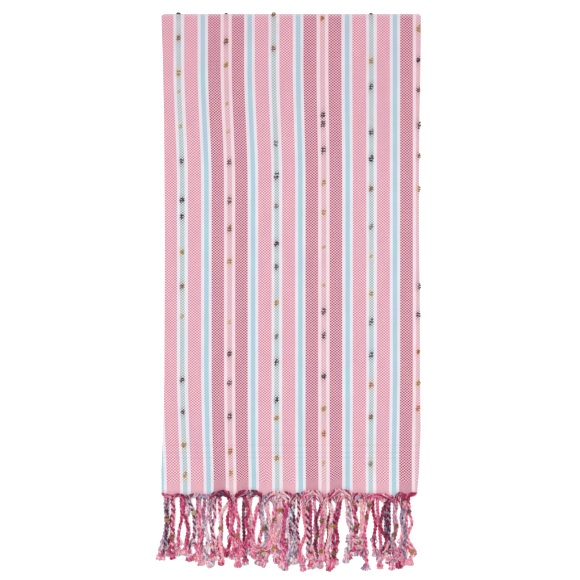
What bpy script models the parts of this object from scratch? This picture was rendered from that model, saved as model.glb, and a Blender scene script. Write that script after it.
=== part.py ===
"""A striped cotton hammam towel, folded and laid flat.

The towel is one piece of cloth with a knotted fringe on each end. Both of its long sides are
turned in behind a front panel, and the strip that this makes is then folded in half across
its length, so that both fringed ends lie together. X runs across the towel and Y along it,
towards the fold. The surface it lies on is Z = 0, and the origin is the middle of its underside.
"""

import math
import random

import bmesh
import bpy

MM = 0.001

# The cloth.
CLOTH_WIDTH = 900 * MM          # from selvedge to selvedge, before folding
CLOTH_THICK = 1.0 * MM
LAYER_PITCH = 1.5 * MM          # from one layer to the next, so that they lie 0.5 mm apart
PANEL_WIDTH = 411 * MM          # the front panel that shows
HALF_LENGTH = 765 * MM          # woven length from the fold to an end
LAYERS_TO_PANEL = 2.5           # from the stack's middle to the front panel, in layers
SWELL = 0.9 * MM                # how far the upper half rises in soft swells
SWELL_FADE = 70 * MM            # the stretch below the fold over which the swells die out
HIDDEN_SIDE_STEP = 1.0 * MM     # the lower half lies this much further in at each side
CORNER_ROUND = 4.5 * MM         # how far the fold's two ends draw in
EDGE_WAVE = 2.4 * MM            # how far the woven ends curve to and fro
EDGE_BEND = 62 * MM             # the length in which such a curve turns by one radian
EDGE_CALM = 171 * MM            # and the length in which it dies down and comes back
END_MARGIN = 12 * MM            # between a woven end and the section of the cloth beside it

FLAP_WIDTH = (CLOTH_WIDTH - PANEL_WIDTH) / 2
STRETCH_DEPTHS = {"panel": 0.0, "right_flap": LAYER_PITCH, "left_flap": 2 * LAYER_PITCH}
FOLD_Y = HALF_LENGTH / 2
STACK_MIDDLE_Z = LAYERS_TO_PANEL * LAYER_PITCH + CLOTH_THICK / 2
FOLD_RADIUS = LAYERS_TO_PANEL * LAYER_PITCH

# How many steps each stretch of the cloth's section and length is built with.
FLAP_STEPS, PANEL_STEPS, SIDE_FOLD_STEPS = 7, 12, 4
END_FOLD_STEPS, UNDERSIDE_STEPS = 8, 5

# The front panel's two side edges, uneven as laid by hand: (Y, left X, right X) in millimetres.
SIDE_EDGES = (
    (379.0, -209.5, 205.9),
    (356.0, -208.8, 205.9),
    (308.0, -207.2, 205.3),
    (212.0, -205.3, 203.5),
    (116.0, -204.6, 202.7),
    (20.0, -204.2, 202.9),
    (-92.0, -204.4, 204.3),
    (-204.0, -204.8, 204.4),
    (-284.0, -207.2, 205.4),
    (-348.0, -209.6, 202.7),
    (-390.0, -209.0, 199.2),
)

# The fringe: tassels that are twisted and knotted, fused at their roots into a narrow strip.
STRIP_GAP = 0.3 * MM            # between the cloth's edge and the strip
STRIP_DEEP = 4.5 * MM
ROOT_WIDTH = 4.6 * MM
TASSEL_PITCH = 25.3 * MM
TASSEL_WIDTH, TASSEL_HEIGHT = 7.0 * MM, 4.8 * MM
NECK_WIDTH, NECK_HEIGHT = 4.8 * MM, 2.0 * MM
KNOT_WIDTH, KNOT_HEIGHT = 10.0 * MM, 6.4 * MM
TUFT_WIDTH, TUFT_HEIGHT = 8.0 * MM, 4.0 * MM
TASSEL_GAP = 0.4 * MM           # between tassels that lie side by side or on one another
SHORTEST_TASSEL, LONGEST_TASSEL = 105 * MM, 128 * MM
STEEPEST_SLOPE = 0.2            # rise over run where a tassel climbs over another
WANDER = 2.4 * MM               # how far a tassel wanders sideways on its way
BENDS = (1.0, 2.2)              # the fewest and the most bends that it does so in
NUDGES = 400                    # rounds in which neighbours push each other apart

# Depths below the woven end where a tassel has a section: longer steps first, then short ones
# where the knots and tufts are.
LONG_DEPTHS = [11 * MM, 26 * MM, 43 * MM, 60 * MM, 77 * MM]
SHORT_DEPTHS = [77 * MM + 8 * MM * step for step in range(1, 8)]
DEPTHS = LONG_DEPTHS + SHORT_DEPTHS
HALFWAY = 62 * MM

# The tassels of both ends lie in loose bunches, with bare gaps between them. Each row has a
# bunch's left and right side halfway down and then at the tips, in millimetres from the middle.
BUNCHES = (
    (-211, -179, -218, -179),
    (-173, -111, -176, -109),
    (-103, -55, -93, -61),
    (-50, 13, -55, 9),
    (17, 75, 13, 77),
    (86, 121, 80, 121),
    (133, 169, 133, 168),
    (173, 194, 173, 200),
)

# The three stretches of the folded cloth that carry tassels: how many, and how far the first
# one stands from the side edge that the stretch starts at, in tassel pitches.
TASSEL_ROWS = (
    # stretch, tassels, lower end's first, upper end's first
    ("panel", 16, 0.64, 0.90),
    ("left_flap", 9, 0.20, 0.40),
    ("right_flap", 9, 0.75, 1.05),
)

CLOTH_COLOUR = (0.80, 0.42, 0.52, 1)
FRINGE_COLOURS = {"fringe_upper": (0.60, 0.10, 0.26, 1), "fringe_lower": (0.50, 0.20, 0.33, 1)}


def clear_scene():
    for old in list(bpy.data.objects):
        bpy.data.objects.remove(old, do_unlink=True)


def between(low, high, share):
    return low + (high - low) * share


def ease(share):
    """0 to 1 with no corner at either end."""
    share = min(1.0, max(0.0, share))
    return share * share * (3 - 2 * share)


def side_edges(y):
    """The front panel's left and right edge at this Y, in metres."""
    rows = sorted(SIDE_EDGES)
    y = min(max(y / MM, rows[0][0]), rows[-1][0])
    for (y_low, *low), (y_high, *high) in zip(rows, rows[1:]):
        if y <= y_high:
            share = (y - y_low) / (y_high - y_low)
            return tuple(between(a, b, share) * MM for a, b in zip(low, high))
    raise ValueError(y)


def woven_end(x):
    """The Y where the weave ends and the fringe starts."""
    return -FOLD_Y - EDGE_WAVE * math.sin(x / EDGE_BEND + 0.6) * math.cos(x / EDGE_CALM)


def swell(x, y):
    """How far the upper half stands above its flat height, which fades out towards the fold."""
    hills = 2 + math.sin(x / (71 * MM) + y / (190 * MM)) + math.sin(y / (83 * MM) - x / (140 * MM))
    return SWELL * hills / 4 * ease((FOLD_Y - y) / SWELL_FADE)


# The section across the folded cloth is a path in X and in depth below the outermost layer.

def arc(centre_x, centre_depth, radius, first_angle, last_angle, steps):
    """Points round an arc, without its first one."""
    angles = [between(first_angle, last_angle, step / steps) for step in range(1, steps + 1)]
    return [
        (centre_x + radius * math.cos(angle), centre_depth + radius * math.sin(angle))
        for angle in angles
    ]


def section(left, right, stops):
    """The path from the left flap's selvedge round the panel to the right flap's selvedge.

    stops holds, for each stretch, the places where the path has a point, as distances from the
    side edge for a flap and as distances from the left edge for the panel.
    """
    left_radius, right_radius = LAYER_PITCH, LAYER_PITCH / 2
    left_middle = left + CLOTH_THICK / 2 + left_radius
    right_middle = right - CLOTH_THICK / 2 - right_radius
    left_depth, right_depth = STRETCH_DEPTHS["left_flap"], STRETCH_DEPTHS["right_flap"]
    path = [(left + away, left_depth) for away in sorted(stops["left_flap"], reverse=True)]
    path.append((left_middle, left_depth))
    path += arc(left_middle, left_radius, left_radius, math.pi / 2, 3 * math.pi / 2, SIDE_FOLD_STEPS)
    path += [(left + away, 0.0) for away in sorted(stops["panel"])]
    path.append((right_middle, 0.0))
    path += arc(right_middle, right_radius, right_radius, -math.pi / 2, math.pi / 2, SIDE_FOLD_STEPS)
    path += [(right - away, right_depth) for away in sorted(stops["right_flap"])]
    return path


def thickened(path):
    """The two sides of a path, each half the cloth's thickness away from it."""
    sides = ([], [])
    for index, (x, depth) in enumerate(path):
        before = path[max(index - 1, 0)]
        after = path[min(index + 1, len(path) - 1)]
        one, two = unit(before, (x, depth)), unit((x, depth), after)
        one, two = one or two, two or one
        across = (-(one[1] + two[1]) / 2, (one[0] + two[0]) / 2)
        reach = CLOTH_THICK / 2 / (across[0] ** 2 + across[1] ** 2)
        for side, sign in zip(sides, (-1, 1)):
            side.append((x + sign * across[0] * reach, depth + sign * across[1] * reach))
    return sides


def unit(start, end):
    """The direction from start to end, or None where they are one point."""
    run = (end[0] - start[0], end[1] - start[1])
    length = math.hypot(*run)
    return (run[0] / length, run[1] / length) if length > 1e-9 else None


def height(x, y, depth, upper):
    """The Z of a point that lies this deep below the outermost layer of its half."""
    if upper:
        return STACK_MIDDLE_Z + FOLD_RADIUS - depth + swell(x, y)
    return STACK_MIDDLE_Z - FOLD_RADIUS + depth


def steady(y):
    """A line of one Y, as a function of X."""
    return lambda x: y


def laid_ring(path, y_of, upper):
    """A section's two sides as points in space, one loop, with Y given by y_of(x)."""
    outer, inner = thickened(path)
    loop = outer + inner[::-1]
    return [(x, y_of(x), height(x, y_of(x), depth, upper)) for x, depth in loop]


def add_loft(bm, rings):
    """Joins rings of points in a row with faces, and returns the rings' vertices."""
    rings = [[bm.verts.new(point) for point in ring] for ring in rings]
    count = len(rings[0])
    for first, second in zip(rings, rings[1:]):
        for index in range(count):
            after = (index + 1) % count
            bm.faces.new((first[index], first[after], second[after], second[index]))
    return rings


def end_faces(ring):
    """The four corners of each face that closes a thickened section's end, along its path."""
    count = len(ring)
    return [
        (ring[index], ring[count - 1 - index], ring[count - 2 - index], ring[index + 1])
        for index in range(count // 2 - 1)
    ]


def new_object(name, bm, colour):
    bmesh.ops.recalc_face_normals(bm, faces=bm.faces)
    mesh = bpy.data.meshes.new(name)
    bm.to_mesh(mesh)
    bm.free()
    mesh.shade_smooth()
    mesh.set_sharp_from_angle(angle=math.radians(50))
    material = bpy.data.materials.new(name)
    material.use_nodes = True
    shader = material.node_tree.nodes["Principled BSDF"]
    shader.inputs["Base Color"].default_value = colour
    shader.inputs["Roughness"].default_value = 0.9
    shader.inputs["Metallic"].default_value = 0.0
    mesh.materials.append(material)
    made = bpy.data.objects.new(name, mesh)
    bpy.context.scene.collection.objects.link(made)
    return made


def plain_stops(left, right):
    """Evenly spaced places for the cloth's own section."""
    flap = [FLAP_WIDTH * step / FLAP_STEPS for step in range(1, FLAP_STEPS + 1)]
    panel = [(right - left) * step / PANEL_STEPS for step in range(1, PANEL_STEPS)]
    return {"left_flap": flap, "panel": panel, "right_flap": flap}


def cloth_section(left, right):
    return section(left, right, plain_stops(left, right))


def underside_edges(y):
    left, right = side_edges(y)
    return left + HIDDEN_SIDE_STEP, right - HIDDEN_SIDE_STEP


def cloth_rings():
    """The cloth's section, swept from the upper woven end, round the fold, to the lower one."""
    turn_y = FOLD_Y - FOLD_RADIUS
    first_y = -FOLD_Y + END_MARGIN
    inner_rows = [y * MM for y, _, _ in sorted(SIDE_EDGES) if first_y < y * MM < turn_y]
    rings = [laid_ring(cloth_section(*side_edges(-FOLD_Y)), woven_end, True)]
    for y in [first_y, *inner_rows]:
        rings.append(laid_ring(cloth_section(*side_edges(y)), steady(y), True))
    above, below = side_edges(turn_y), underside_edges(turn_y)
    for step in range(END_FOLD_STEPS + 1):
        angle = math.pi * step / END_FOLD_STEPS
        share, draw = (1 - math.cos(angle)) / 2, CORNER_ROUND * math.sin(angle) ** 4
        outer, inner = thickened(cloth_section(
            between(above[0], below[0], share) + draw, between(above[1], below[1], share) - draw
        ))
        rings.append([
            (
                x,
                turn_y + (FOLD_RADIUS - depth) * math.sin(angle),
                STACK_MIDDLE_Z + (FOLD_RADIUS - depth) * math.cos(angle),
            )
            for x, depth in outer + inner[::-1]
        ])
    for step in range(1, UNDERSIDE_STEPS):
        y = between(turn_y, -FOLD_Y, step / UNDERSIDE_STEPS)
        rings.append(laid_ring(cloth_section(*underside_edges(y)), steady(y), False))
    rings.append(laid_ring(cloth_section(*underside_edges(-FOLD_Y)), woven_end, False))
    return rings


def build_cloth():
    bm = bmesh.new()
    rings = add_loft(bm, cloth_rings())
    for ring in (rings[0], rings[-1]):
        for corners in end_faces(ring):
            bm.faces.new(corners)
    return new_object("towel_cloth", bm, CLOTH_COLOUR)


# The tassels. Each one is a bar of four sides. Those of one end lie side by side, the lower
# end's on the surface and the upper end's on them.

def tassel_roots(upper):
    """(root X, stretch) of each tassel of one end, from left to right."""
    left, right = (side_edges if upper else underside_edges)(-FOLD_Y)
    roots = []
    for stretch, count, first_lower, first_upper in TASSEL_ROWS:
        for index in range(count):
            away = ((first_upper if upper else first_lower) + index) * TASSEL_PITCH
            roots.append((right - away if stretch == "right_flap" else left + away, stretch))
    return sorted(roots)


def in_bunch(root_x, column):
    """Where a tassel with its root here lies in its bunch, whose left side is in this column.

    Each bunch takes in the roots up to halfway to the bunch beside it.
    """
    left, right = side_edges(-FOLD_Y)
    borders = [(one[1] + two[0]) / 2 * MM for one, two in zip(BUNCHES, BUNCHES[1:])]
    for row, start, end in zip(BUNCHES, [left, *borders], [*borders, right]):
        if root_x <= end:
            break
    low, high = row[column] * MM, row[column + 1] * MM
    share = (root_x - start) / (end - start)
    return between(low + TASSEL_WIDTH / 2, high - TASSEL_WIDTH / 2, share)


def tassel_layout(upper, chance):
    """One dict for each tassel of an end, from left to right."""
    tassels = []
    for root_x, stretch in tassel_roots(upper):
        tassels.append({
            "stretch": stretch,
            "root_x": root_x,
            "reach": between(SHORTEST_TASSEL, LONGEST_TASSEL, chance.random()),
            "halfway_x": in_bunch(root_x, 0),
            "tip_x": in_bunch(root_x, 2),
            "wander": chance.uniform(-WANDER, WANDER),
            "bends": chance.uniform(*BENDS),
        })
    push_apart(tassels)
    return tassels


def wished_x(tassel, depth):
    """Where a tassel's middle would be at this depth if it had no neighbours."""
    halfway = between(tassel["root_x"], tassel["halfway_x"], ease(depth / HALFWAY))
    sway = tassel["wander"] * math.sin(math.pi * tassel["bends"] * depth / tassel["reach"])
    return between(halfway, tassel["tip_x"], ease((depth - HALFWAY) / HALFWAY)) + sway


def push_apart(tassels):
    """Places each tassel's sections, with neighbours moved until none of them touch."""
    for tassel in tassels:
        tassel["x"] = [wished_x(tassel, depth) for depth in DEPTHS[:last_section(tassel) + 1]]
    for index in range(len(DEPTHS)):
        row = [tassel for tassel in tassels if index < len(tassel["x"])]
        for _ in range(NUDGES):
            for one, two in zip(row, row[1:]):
                apart = (tassel_size(one, index)[0] + tassel_size(two, index)[0]) / 2 + TASSEL_GAP
                short = apart - (two["x"][index] - one["x"][index])
                if short > 0:
                    one["x"][index] -= short / 2
                    two["x"][index] += short / 2


def tassel_size(tassel, index):
    """Width and height at one of DEPTHS: the neck, the twisted run, the knot and the tuft."""
    knot = last_section(tassel) - 2
    if index == 0:
        return NECK_WIDTH, NECK_HEIGHT
    if index == knot:
        return KNOT_WIDTH, KNOT_HEIGHT
    if index > knot:
        return TUFT_WIDTH, TUFT_HEIGHT
    return TASSEL_WIDTH, TASSEL_HEIGHT


def last_section(tassel):
    """The index of the first of DEPTHS at or past the tassel's tip."""
    return next(index for index, depth in enumerate(DEPTHS) if depth >= tassel["reach"])


def span(tassel, index):
    """The stretch of X that the tassel takes up from the section before this one to the next."""
    sides = []
    for near in range(max(index - 1, 0), min(index + 2, len(tassel["x"]))):
        half = tassel_size(tassel, near)[0] / 2 + TASSEL_GAP / 2
        sides += [tassel["x"][near] - half, tassel["x"][near] + half]
    return min(sides), max(sides)


def settle(tassels, under, root_heights):
    """Gives each tassel its heights, laid on the surface and on the tassels under it."""
    strip_end = STRIP_GAP + STRIP_DEEP
    for tassel in tassels:
        count = len(tassel["x"])
        tassel["spans"] = [span(tassel, index) for index in range(count)]
        rests = [(strip_end, root_heights[tassel["stretch"]])]
        for index, (low, high) in enumerate(tassel["spans"]):
            tops = [
                other["top"][index] + TASSEL_GAP
                for other in under
                if index < len(other["top"])
                and other["spans"][index][0] < high
                and low < other["spans"][index][1]
            ]
            rests.append((DEPTHS[index], max(tops, default=0.0)))
        base = [
            max(0.0, max(z - STEEPEST_SLOPE * abs(depth - DEPTHS[index]) for depth, z in rests))
            for index in range(count)
        ]
        sizes = [tassel_size(tassel, index)[1] for index in range(count)]
        tassel["middle"] = [z + tall / 2 for z, tall in zip(base, sizes)]
        tassel["top"] = [z + tall for z, tall in zip(base, sizes)]


def tassel_sections(tassel):
    """(X, depth, Z, width, height) of each section of a tassel, from its neck to its tip."""
    last = last_section(tassel)
    made = [
        (tassel["x"][index], DEPTHS[index], tassel["middle"][index], *tassel_size(tassel, index))
        for index in range(last)
    ]
    share = (tassel["reach"] - DEPTHS[last - 1]) / (DEPTHS[last] - DEPTHS[last - 1])
    x = between(tassel["x"][last - 1], tassel["x"][last], share)
    z = between(tassel["middle"][last - 1], tassel["middle"][last], share)
    made.append((x, tassel["reach"], z, TUFT_WIDTH, TUFT_HEIGHT))
    return made


def root_heights(upper):
    """The height of the underside of each stretch of one half, where its tassels leave it."""
    bottom = CLOTH_THICK / 2
    return {
        stretch: height(0, -FOLD_Y, depth, upper) - bottom for stretch, depth in STRETCH_DEPTHS.items()
    }


def strip_stops(tassels, left, right):
    """Places for the strip's section, so that each tassel's root has a face of its own."""
    stops = {
        "left_flap": [FLAP_WIDTH],
        "panel": [],
        "right_flap": [FLAP_WIDTH],
    }
    for tassel in tassels:
        away = tassel["root_x"] - left
        if tassel["stretch"] == "right_flap":
            away = right - tassel["root_x"]
        stops[tassel["stretch"]] += [away - ROOT_WIDTH / 2, away + ROOT_WIDTH / 2]
    return stops


def add_tassel(bm, root, tassel):
    """Grows a tassel from the four corners of its root, section by section."""
    previous = root
    for x, depth, z, width, tall in tassel_sections(tassel):
        corners = [
            bm.verts.new((x + side * width / 2, -FOLD_Y - depth, z + rise * tall / 2))
            for side, rise in tassel["turn"]
        ]
        for index in range(4):
            after = (index + 1) % 4
            bm.faces.new((previous[index], previous[after], corners[after], corners[index]))
        previous = corners
    bm.faces.new(previous)


def corner_turn(root):
    """Which side and height each corner of a root is on, as -1 or 1, in the root's own order."""
    middle_x = sum(corner.co.x for corner in root) / 4
    middle_z = sum(corner.co.z for corner in root) / 4
    return [(math.copysign(1, c.co.x - middle_x), math.copysign(1, c.co.z - middle_z)) for c in root]


def build_fringe(name, upper, tassels):
    left, right = (side_edges if upper else underside_edges)(-FOLD_Y)
    path = section(left, right, strip_stops(tassels, left, right))
    bm = bmesh.new()
    rings = add_loft(bm, [
        laid_ring(path, lambda x: woven_end(x) - STRIP_GAP, upper),
        laid_ring(path, lambda x: woven_end(x) - STRIP_GAP - STRIP_DEEP, upper),
    ])
    for corners in end_faces(rings[0]):
        bm.faces.new(corners)
    places = {
        (round(tassel["root_x"] / MM, 3), STRETCH_DEPTHS[tassel["stretch"]]): tassel
        for tassel in tassels
    }
    for index, corners in enumerate(end_faces(rings[1])):
        (x_one, depth_one), (x_two, depth_two) = path[index], path[index + 1]
        tassel = places.get((round((x_one + x_two) / 2 / MM, 3), depth_one))
        if tassel and depth_one == depth_two:
            tassel["turn"] = corner_turn(corners)
            add_tassel(bm, corners, tassel)
        else:
            bm.faces.new(corners)
    return new_object(name, bm, FRINGE_COLOURS[name])


def stand_on_origin(objects):
    """Moves the towel so that the middle of its underside is the origin."""
    points = [made.matrix_world @ vertex.co for made in objects for vertex in made.data.vertices]
    for axis in (0, 1):
        middle = (min(p[axis] for p in points) + max(p[axis] for p in points)) / 2
        for made in objects:
            made.location[axis] -= middle


def main():
    clear_scene()
    chance = random.Random(7)
    lower, upper = tassel_layout(False, chance), tassel_layout(True, chance)
    settle(lower, [], root_heights(False))
    settle(upper, lower, root_heights(True))
    stand_on_origin([
        build_cloth(),
        build_fringe("fringe_lower", False, lower),
        build_fringe("fringe_upper", True, upper),
    ])


main()
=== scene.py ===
# %% [markdown]
# # A hammam towel, folded and laid flat
#
# A hammam towel is a flat-woven cotton bath towel: no loops, no hem, only stripes and a knotted
# fringe at both ends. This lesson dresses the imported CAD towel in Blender. The CAD solids say how
# the cloth is folded and where the tassels lie. The lesson weaves the cloth and twists each cord.

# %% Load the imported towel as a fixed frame
import math
import random

import bpy
import numpy as np
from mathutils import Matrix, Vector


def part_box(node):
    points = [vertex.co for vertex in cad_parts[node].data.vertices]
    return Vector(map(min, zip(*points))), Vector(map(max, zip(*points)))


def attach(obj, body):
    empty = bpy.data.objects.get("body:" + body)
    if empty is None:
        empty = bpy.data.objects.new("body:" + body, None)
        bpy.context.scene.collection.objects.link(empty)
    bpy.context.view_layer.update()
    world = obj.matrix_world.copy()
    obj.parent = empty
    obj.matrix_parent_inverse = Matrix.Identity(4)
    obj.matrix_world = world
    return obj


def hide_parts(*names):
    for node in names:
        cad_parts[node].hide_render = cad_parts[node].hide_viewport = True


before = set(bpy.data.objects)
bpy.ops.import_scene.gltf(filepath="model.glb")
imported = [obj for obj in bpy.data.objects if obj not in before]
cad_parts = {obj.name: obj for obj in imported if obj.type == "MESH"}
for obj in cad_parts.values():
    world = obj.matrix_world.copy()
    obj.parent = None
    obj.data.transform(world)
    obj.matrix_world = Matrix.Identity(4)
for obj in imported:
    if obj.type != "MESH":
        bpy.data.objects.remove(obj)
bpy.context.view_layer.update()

MM = 0.001
print("CAD nodes:", sorted(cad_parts))

# %% [markdown]
# ## Where the towel lies
#
# The photograph looks straight down on the towel, so its picture plane is our XY plane. The sizes
# below are measured from the fold and from the middle of the picture, as a maker would lay the
# towel out. The CAD file moved the towel so that its box stands on the origin, so we read that
# move from the cloth's own box and apply it to all that we make.

# %% Sizes of the folded cloth
CLOTH_WIDTH = 900 * MM
PANEL_WIDTH = 411 * MM
FLAP_WIDTH = (CLOTH_WIDTH - PANEL_WIDTH) / 2
FOLD_Y = 382.5 * MM             # the fold's line, half the woven length from the middle
SHEET_THICK = 1.1 * MM
LAYER_PITCH = 1.5 * MM          # from one layer to the next
FOLD_RADIUS = 2.5 * LAYER_PITCH
TOP_Z = 8.0 * MM                # the middle of the outermost layer's thickness
BOTTOM_Z = 0.57 * MM            # the same for the layer that lies on the floor
CAD_HALF_THICK = 0.5 * MM       # where that layer's middle is in the CAD cloth, 1 mm thick
TURN_Y = FOLD_Y - FOLD_RADIUS   # where the cloth starts to turn round the fold
FOLD_HALF = FOLD_RADIUS * math.pi / 2
WOVEN_HALF = FOLD_HALF + TURN_Y + FOLD_Y
CAD_LEFT = 209.64 * MM          # how far the CAD cloth reaches to the left of the middle
CAD_BULGE = 0.5 * MM            # how far it bulges past the fold's line

cloth_low, cloth_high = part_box("towel_cloth")
SHIFT = np.array([cloth_low.x + CAD_LEFT, cloth_high.y - FOLD_Y - CAD_BULGE, 0.0])
print("the towel was moved by", [round(float(part) / MM, 2) for part in SHIFT], "mm")

# %% [markdown]
# ## Camera, light and floor
#
# The photograph was taken from straight above and from far away, so a long lens three metres up
# gives its flat look. It is lit by a white room all round and by a wide soft light almost straight
# above, a little to the upper left, so light also falls between the cords and the folds get a thin
# darker edge. The towel's colours have to come out as they are, so the picture uses the Standard
# view and not a film-like one.

# %% Camera
PICTURE_WIDTH = 928 * MM        # what the square picture takes in
PICTURE_MIDDLE = -3.36 * MM, -59.4 * MM
CAMERA_HEIGHT = 3.0
SENSOR = 36.0

camera_data = bpy.data.cameras.new("camera")
camera_data.sensor_width = SENSOR
camera_data.lens = SENSOR * (CAMERA_HEIGHT - TOP_Z) / PICTURE_WIDTH
camera = bpy.data.objects.new("camera", camera_data)
camera.location = (SHIFT[0] + PICTURE_MIDDLE[0], SHIFT[1] + PICTURE_MIDDLE[1], CAMERA_HEIGHT)
bpy.context.scene.collection.objects.link(camera)
bpy.context.scene.camera = camera
print("lens", round(camera_data.lens, 1), "mm")

# %% Room light, overhead light and view
ROOM_LIGHT, OVERHEAD_LIGHT = 0.5, 2.25
OVERHEAD_SPREAD = math.radians(34)
OVERHEAD_TILT = math.radians(-13), math.radians(-11), 0
LIGHT = 1.22                    # how bright both together make a white sheet on the floor

world = bpy.data.worlds.new("white_room")
bpy.context.scene.world = world
world.use_nodes = True
room = world.node_tree.nodes["Background"]
room.inputs["Color"].default_value = (1, 1, 1, 1)
room.inputs["Strength"].default_value = ROOM_LIGHT

overhead_data = bpy.data.lights.new("overhead", "SUN")
overhead_data.energy = OVERHEAD_LIGHT
overhead_data.angle = OVERHEAD_SPREAD
overhead = bpy.data.objects.new("overhead", overhead_data)
overhead.rotation_euler = OVERHEAD_TILT
bpy.context.scene.collection.objects.link(overhead)
bpy.context.scene.view_settings.view_transform = "Standard"
print("room light", ROOM_LIGHT, "and overhead light", OVERHEAD_LIGHT)

# %% [markdown]
# ## Shader maths as Python
#
# A material in Blender is a small program made of nodes. Written by hand, each plus or minus is a
# node of its own. The class below wraps a node's output, so that a formula such as
# `1 - mask * 0.5` adds its Math nodes by itself. Every other node comes from its one method
# `node`: a type, its settings, and what goes into its sockets.

# %% One class for shader maths
class Wire:
    """A value that runs through a material's nodes. Python's operators on it add Math nodes."""

    def __init__(self, tree, socket=None):
        self.tree, self.socket = tree, socket

    def node(self, kind, settings=None, sockets=None, output=0):
        """Adds a node: its settings first, then the values or links of its sockets."""
        made = self.tree.nodes.new(kind)
        for name, value in (settings or {}).items():
            if name == "stops":
                set_stops(made.color_ramp, value)
            else:
                setattr(made, name, value)
        for name, value in (sockets or {}).items():
            if isinstance(value, Wire):
                self.tree.links.new(value.socket, made.inputs[name])
            else:
                made.inputs[name].default_value = value
        return Wire(self.tree, made.outputs[output])

    def maths(self, operation, *values, clamp=False):
        settings = {"operation": operation, "use_clamp": clamp}
        return self.node("ShaderNodeMath", settings, dict(enumerate(values)))

    def __add__(self, other):
        return self.maths("ADD", self, other)

    def __sub__(self, other):
        return self.maths("SUBTRACT", self, other)

    def __rsub__(self, other):
        return self.maths("SUBTRACT", other, self)

    def __mul__(self, other):
        return self.maths("MULTIPLY", self, other)

    def __truediv__(self, other):
        return self.maths("DIVIDE", self, other)

    def __rtruediv__(self, other):
        return self.maths("DIVIDE", other, self)

    def __mod__(self, other):
        return self.maths("FLOORED_MODULO", self, other)

    def __abs__(self):
        return self.maths("ABSOLUTE", self)

    __radd__ = __add__
    __rmul__ = __mul__

    def wave(self, length):
        """A sine wave with one rise and fall in this length."""
        return self.maths("SINE", self * (2 * math.pi / length))

    def floor(self):
        return self.maths("FLOOR", self)

    def held(self):
        """The value kept between 0 and 1."""
        return self.maths("ADD", self, 0.0, clamp=True)

    def stretch(self, low, high):
        """0 below low, 1 above high, and a straight line between them."""
        return ((self - low) * (1 / (high - low))).held()

    def near(self, full, gone):
        """1 where the value is below full, and a straight line down to 0 at gone."""
        return 1 - self.stretch(full, gone)

    def colours(self, stops, kind="LINEAR"):
        """The colour of a ramp at this value."""
        settings = {"stops": (kind, stops)}
        return self.node("ShaderNodeValToRGB", settings, {"Fac": self})

    def mix(self, one, two):
        """A colour that runs from one to two as this value runs from 0 to 1."""
        sockets = {0: self, 6: one, 7: two}
        return self.node("ShaderNodeMix", {"data_type": "RGBA"}, sockets, output=2)

    def part(self, index):
        """X, Y or Z of a vector."""
        return self.node("ShaderNodeSeparateXYZ", None, {0: self}, output=index)

    def vector(self, x, y, z=0.0):
        return self.node("ShaderNodeCombineXYZ", None, {0: x, 1: y, 2: z})

    def noise(self, detail=2.0):
        """Soft random values round 0.5 at this vector."""
        sockets = {"Vector": self, "Scale": 1.0, "Detail": detail}
        return self.node("ShaderNodeTexNoise", None, sockets)

    def chance(self):
        """A fresh random value from 0 to 1 at each different vector."""
        return self.node("ShaderNodeTexWhiteNoise", {"noise_dimensions": "2D"}, {"Vector": self})


# %% Stops of a colour ramp
def set_stops(ramp, value):
    """Gives a ramp its kind and its stops of a place and a colour."""
    kind, stops = value
    ramp.interpolation = kind
    while len(ramp.elements) < len(stops):
        ramp.elements.new(0.5)
    for element, (place, colour) in zip(ramp.elements, stops):
        element.position = place
        element.color = colour


# %% Colours as a dyer would note them
COTTON_GLOSS = 0.2


def linear(red, green, blue, light=1.0):
    """A screen colour from 0 to 255 as Blender's linear colour, made darker or lighter."""
    levels = [level / 255 for level in (red, green, blue)]
    parts = [((x + 0.055) / 1.055) ** 2.4 if x > 0.04045 else x / 12.92 for x in levels]
    return (*[min(1.0, part * light) for part in parts], 1.0)


def new_material(name, roughness, sheen=0.0):
    """A material, its shader node, and a Wire to start formulas with."""
    material = bpy.data.materials.new(name)
    material.use_nodes = True
    shader = material.node_tree.nodes["Principled BSDF"]
    shader.inputs["Roughness"].default_value = roughness
    shader.inputs["Sheen Weight"].default_value = sheen
    shader.inputs["Specular IOR Level"].default_value = COTTON_GLOSS
    return material, shader, Wire(material.node_tree)


def feed(shader, name, wire):
    """Links a formula's result to one of the shader's sockets."""
    wire.tree.links.new(wire.socket, shader.inputs[name])


print("crimson in linear light:", [round(part, 3) for part in linear(140, 20, 62)[:3]])

# %% [markdown]
# ## The floor
#
# The towel was photographed on a pure white ground, as on a light table, so the floor is a white
# sheet that glows a little. It isn't part of the towel.

# %% Floor
FLOOR_REACH, FLOOR_Z = 6.0, -0.2 * MM
FLOOR_WHITE, FLOOR_GLOW = 0.93, 0.3
FLOOR_CORNERS = (-1, -1), (1, -1), (1, 1), (-1, 1)

floor_paint, floor_shader = new_material("white_floor", 0.9)[:2]
floor_shader.inputs["Base Color"].default_value = (FLOOR_WHITE, FLOOR_WHITE, FLOOR_WHITE, 1)
floor_shader.inputs["Emission Color"].default_value = (1, 1, 1, 1)
floor_shader.inputs["Emission Strength"].default_value = FLOOR_GLOW
floor_mesh = bpy.data.meshes.new("floor")
floor_mesh.from_pydata(
    [(x * FLOOR_REACH, y * FLOOR_REACH, FLOOR_Z) for x, y in FLOOR_CORNERS], [], [(0, 1, 2, 3)]
)
floor_mesh.materials.append(floor_paint)
floor = bpy.data.objects.new("floor", floor_mesh)
bpy.context.scene.collection.objects.link(floor)
print("the floor is", 2 * FLOOR_REACH, "m wide")

# %% [markdown]
# ## The stripes
#
# The stripes are warp threads, so they run the whole length of the cloth. A weaver would note one
# repeat of them as a list of colours and widths, and so do we. Each stripe has two tones: the pale
# ground of the weave and the small dots where the coloured warp lies on top. The dots stand in
# columns 2.44 mm apart, and a repeat takes 62 of them.

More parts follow.
